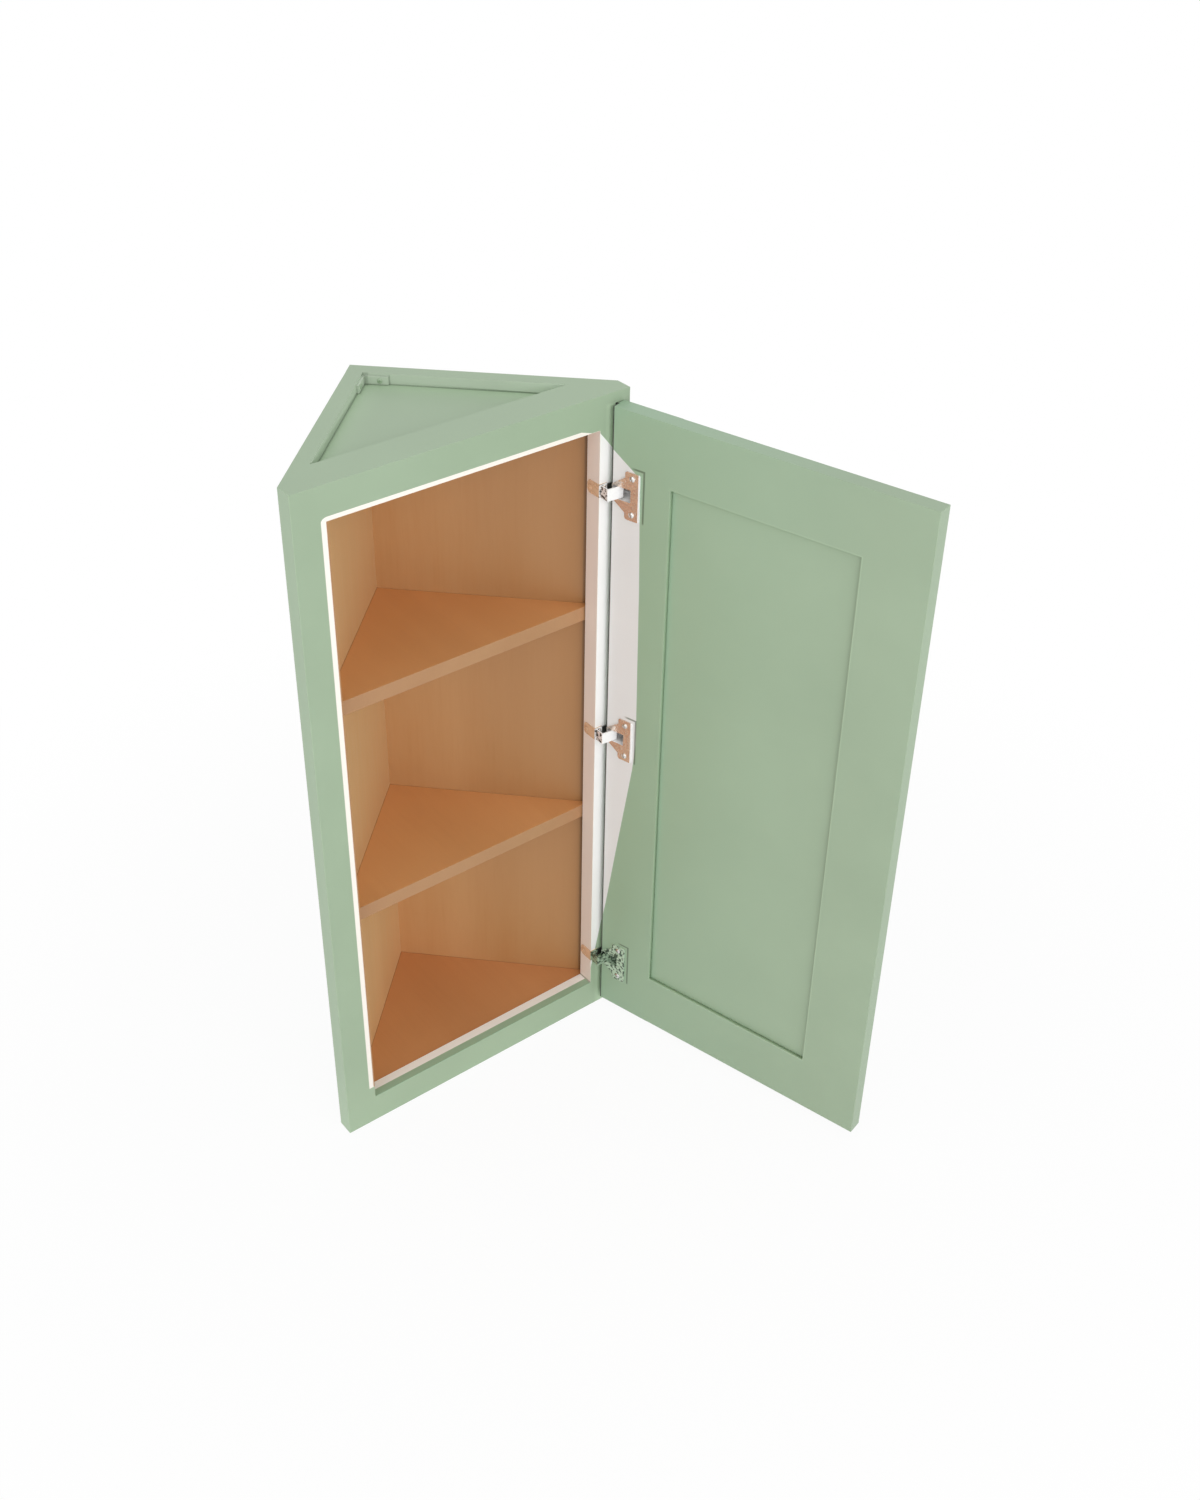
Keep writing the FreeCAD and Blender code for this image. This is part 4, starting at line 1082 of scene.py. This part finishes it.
socketIds = {item.name: item.identifier for item in screws.interface.items_tree if item.in_out == "INPUT"}
for nodeName, own in screwSets.items():
    values = {**plainScrew, **own}
    seats = screwSeats(nodeName, values["outward"], values["rise"])
    points = bpy.data.meshes.new(nodeName + "_seats")
    points.from_pydata([seat for seat, direction in seats], [], [])
    facing = points.attributes.new("facing", "FLOAT_VECTOR", "POINT")
    for index, (seat, direction) in enumerate(seats):
        facing.data[index].vector = direction
    piece = bpy.data.objects.new(nodeName + "_finish", points)
    scene.collection.objects.link(piece)
    dome = values["rise"] * screwShape["dome"]
    sizes = {
        "Head Radius": values["head"], "Head Rise": values["rise"],
        "Dome Radius": (values["head"] ** 2 + dome ** 2) / (2 * dome),
        "Shank Radius": values["shank"], "Shank Length": values["length"],
        "Recess Length": values["head"] * screwShape["recessLength"],
        "Recess Width": values["head"] * screwShape["recessWidth"],
        "Recess Depth": values["rise"] * screwShape["recessDepth"],
        "Cross Recess": values["cross"], "Finish": finishes[values["finish"]],
    }
    modifier = piece.modifiers.new("screws", "NODES")
    modifier.node_group = screws
    for label, size in sizes.items():
        modifier[socketIds[label]] = size
    grown = piece.evaluated_get(bpy.context.evaluated_depsgraph_get())
    mesh = bpy.data.meshes.new_from_object(grown)
    piece.modifiers.clear()
    piece.data = mesh
    smoothFaces(mesh)
    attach(piece, values["body"])
    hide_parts(nodeName)
    print("screws:", nodeName, len(seats), "seats,", len(mesh.polygons), "faces")

# solids that stay as they are, hidden in the joints or plain in shape
keptSolids = {
    "dowelWood": ("frame_dowels", "carcass_dowels"),
    "screwSteel": ("carcass_screws", "hinge_springs",
                   "top_hinge_pin", "middle_hinge_pin", "bottom_hinge_pin"),
}
for finish, nodeNames in keptSolids.items():
    for nodeName in nodeNames:
        kept = cadNodes[nodeName]
        kept.data.materials.clear()
        kept.data.materials.append(finishes[finish])

# white studio: pale floor, soft lamps, white round about
studio = {"white": (1.0, 1.0, 1.0, 1.0), "ambient": 0.64,
          "floorAlbedo": (0.9, 0.9, 0.9, 1.0), "floorHalf": 8.0, "floorDrop": 0.0003,
          "whiteNear": 0.93, "whiteFar": 1.0, "middle": (0.3, -0.15, 0), "fadeFrom": 0.5, "fadeTo": 1.3}


def seenShare(tree):
    path = put(tree, "ShaderNodeLightPath").outputs
    return anyOf(tree, path["Is Camera Ray"], path["Is Glossy Ray"], path["Is Transmission Ray"])


world = bpy.data.worlds.new("studio")
scene.world = world
world.use_nodes = True
tree = world.node_tree
tree.nodes.clear()
white = put(tree, "ShaderNodeBackground", {"Color": studio["white"], "Strength": 1.0})
soft = put(tree, "ShaderNodeBackground", {"Color": studio["white"], "Strength": studio["ambient"]})
blend = put(tree, "ShaderNodeMixShader", {0: seenShare(tree), 1: soft.outputs[0], 2: white.outputs[0]})
put(tree, "ShaderNodeOutputWorld", {0: blend.outputs[0]})

floorSpan = studio["floorHalf"]
floorMesh = bpy.data.meshes.new("floor")
floorMesh.from_pydata(
    [(x * floorSpan, y * floorSpan, -studio["floorDrop"]) for x, y in ((-1, -1), (1, -1), (1, 1), (-1, 1))],
    [], [(0, 1, 2, 3)])
floor = bpy.data.objects.new("floor", floorMesh)
scene.collection.objects.link(floor)
paleFloor = bpy.data.materials.new("paleFloor")
paleFloor.use_nodes = True
tree = paleFloor.node_tree
tree.nodes.clear()
matt = put(tree, "ShaderNodeBsdfDiffuse", {"Color": studio["floorAlbedo"]})
glow = put(tree, "ShaderNodeEmission", {"Color": studio["white"], "Strength": 1.0})
floorPlace = put(tree, "ShaderNodeTexCoord").outputs["Object"]
fromMiddle = put(tree, "ShaderNodeVectorMath", {0: floorPlace, 1: studio["middle"]}, operation="DISTANCE")
fade = remap(tree, fromMiddle.outputs["Value"], studio["fadeFrom"], studio["fadeTo"],
             studio["whiteNear"], studio["whiteFar"], smooth=True)
share = times(tree, seenShare(tree), fade)
blend = put(tree, "ShaderNodeMixShader", {0: share, 1: matt.outputs[0], 2: glow.outputs[0]})
put(tree, "ShaderNodeOutputMaterial", {0: blend.outputs[0]})
floorMesh.materials.append(paleFloor)

lamps = {
    "keyLamp": {"at": (1.75, -2.05, 1.55), "to": (0.15, -0.15, 0.45), "size": 2.0, "power": 24.0},
    "fillLamp": {"at": (-1.1, -2.4, 1.9), "to": (0.4, -0.1, 0.45), "size": 2.2, "power": 12.0},
    "topLamp": {"at": (0.2, 0.4, 3.0), "to": (0.2, -0.1, 0.6), "size": 2.4, "power": 6.0},
    "lowLamp": {"at": (0.55, -2.1, 0.30), "to": (0.25, -0.2, 0.15), "size": 1.2, "power": 3.0},
}
for name, values in lamps.items():
    light = bpy.data.lights.new(name, "AREA")
    light.shape = "SQUARE"
    light.size = values["size"]
    light.energy = values["power"]
    lamp = bpy.data.objects.new(name, light)
    lamp.location = values["at"]
    lamp.rotation_euler = (Vector(values["to"]) - Vector(values["at"])).to_track_quat("-Z", "Y").to_euler()
    scene.collection.objects.link(lamp)

# camera as the picture was taken; turn and down in degrees, lens and sensor in millimetres
shot = {"at": (0.48385, -1.77300, 1.69701), "turn": 8.1697, "down": 34.8035, "lens": 41.217, "sensor": 36.0,
        "shift": (0.03307, -0.02240)}
view = bpy.data.cameras.new("camera")
view.sensor_width = shot["sensor"]
view.lens = shot["lens"]
view.shift_x, view.shift_y = shot["shift"]
camera = bpy.data.objects.new("camera", view)
camera.location = shot["at"]
camera.rotation_euler = (math.radians(90 - shot["down"]), 0, math.radians(shot["turn"]))
scene.collection.objects.link(camera)
scene.camera = camera
print("studio: floor, lamps and camera")
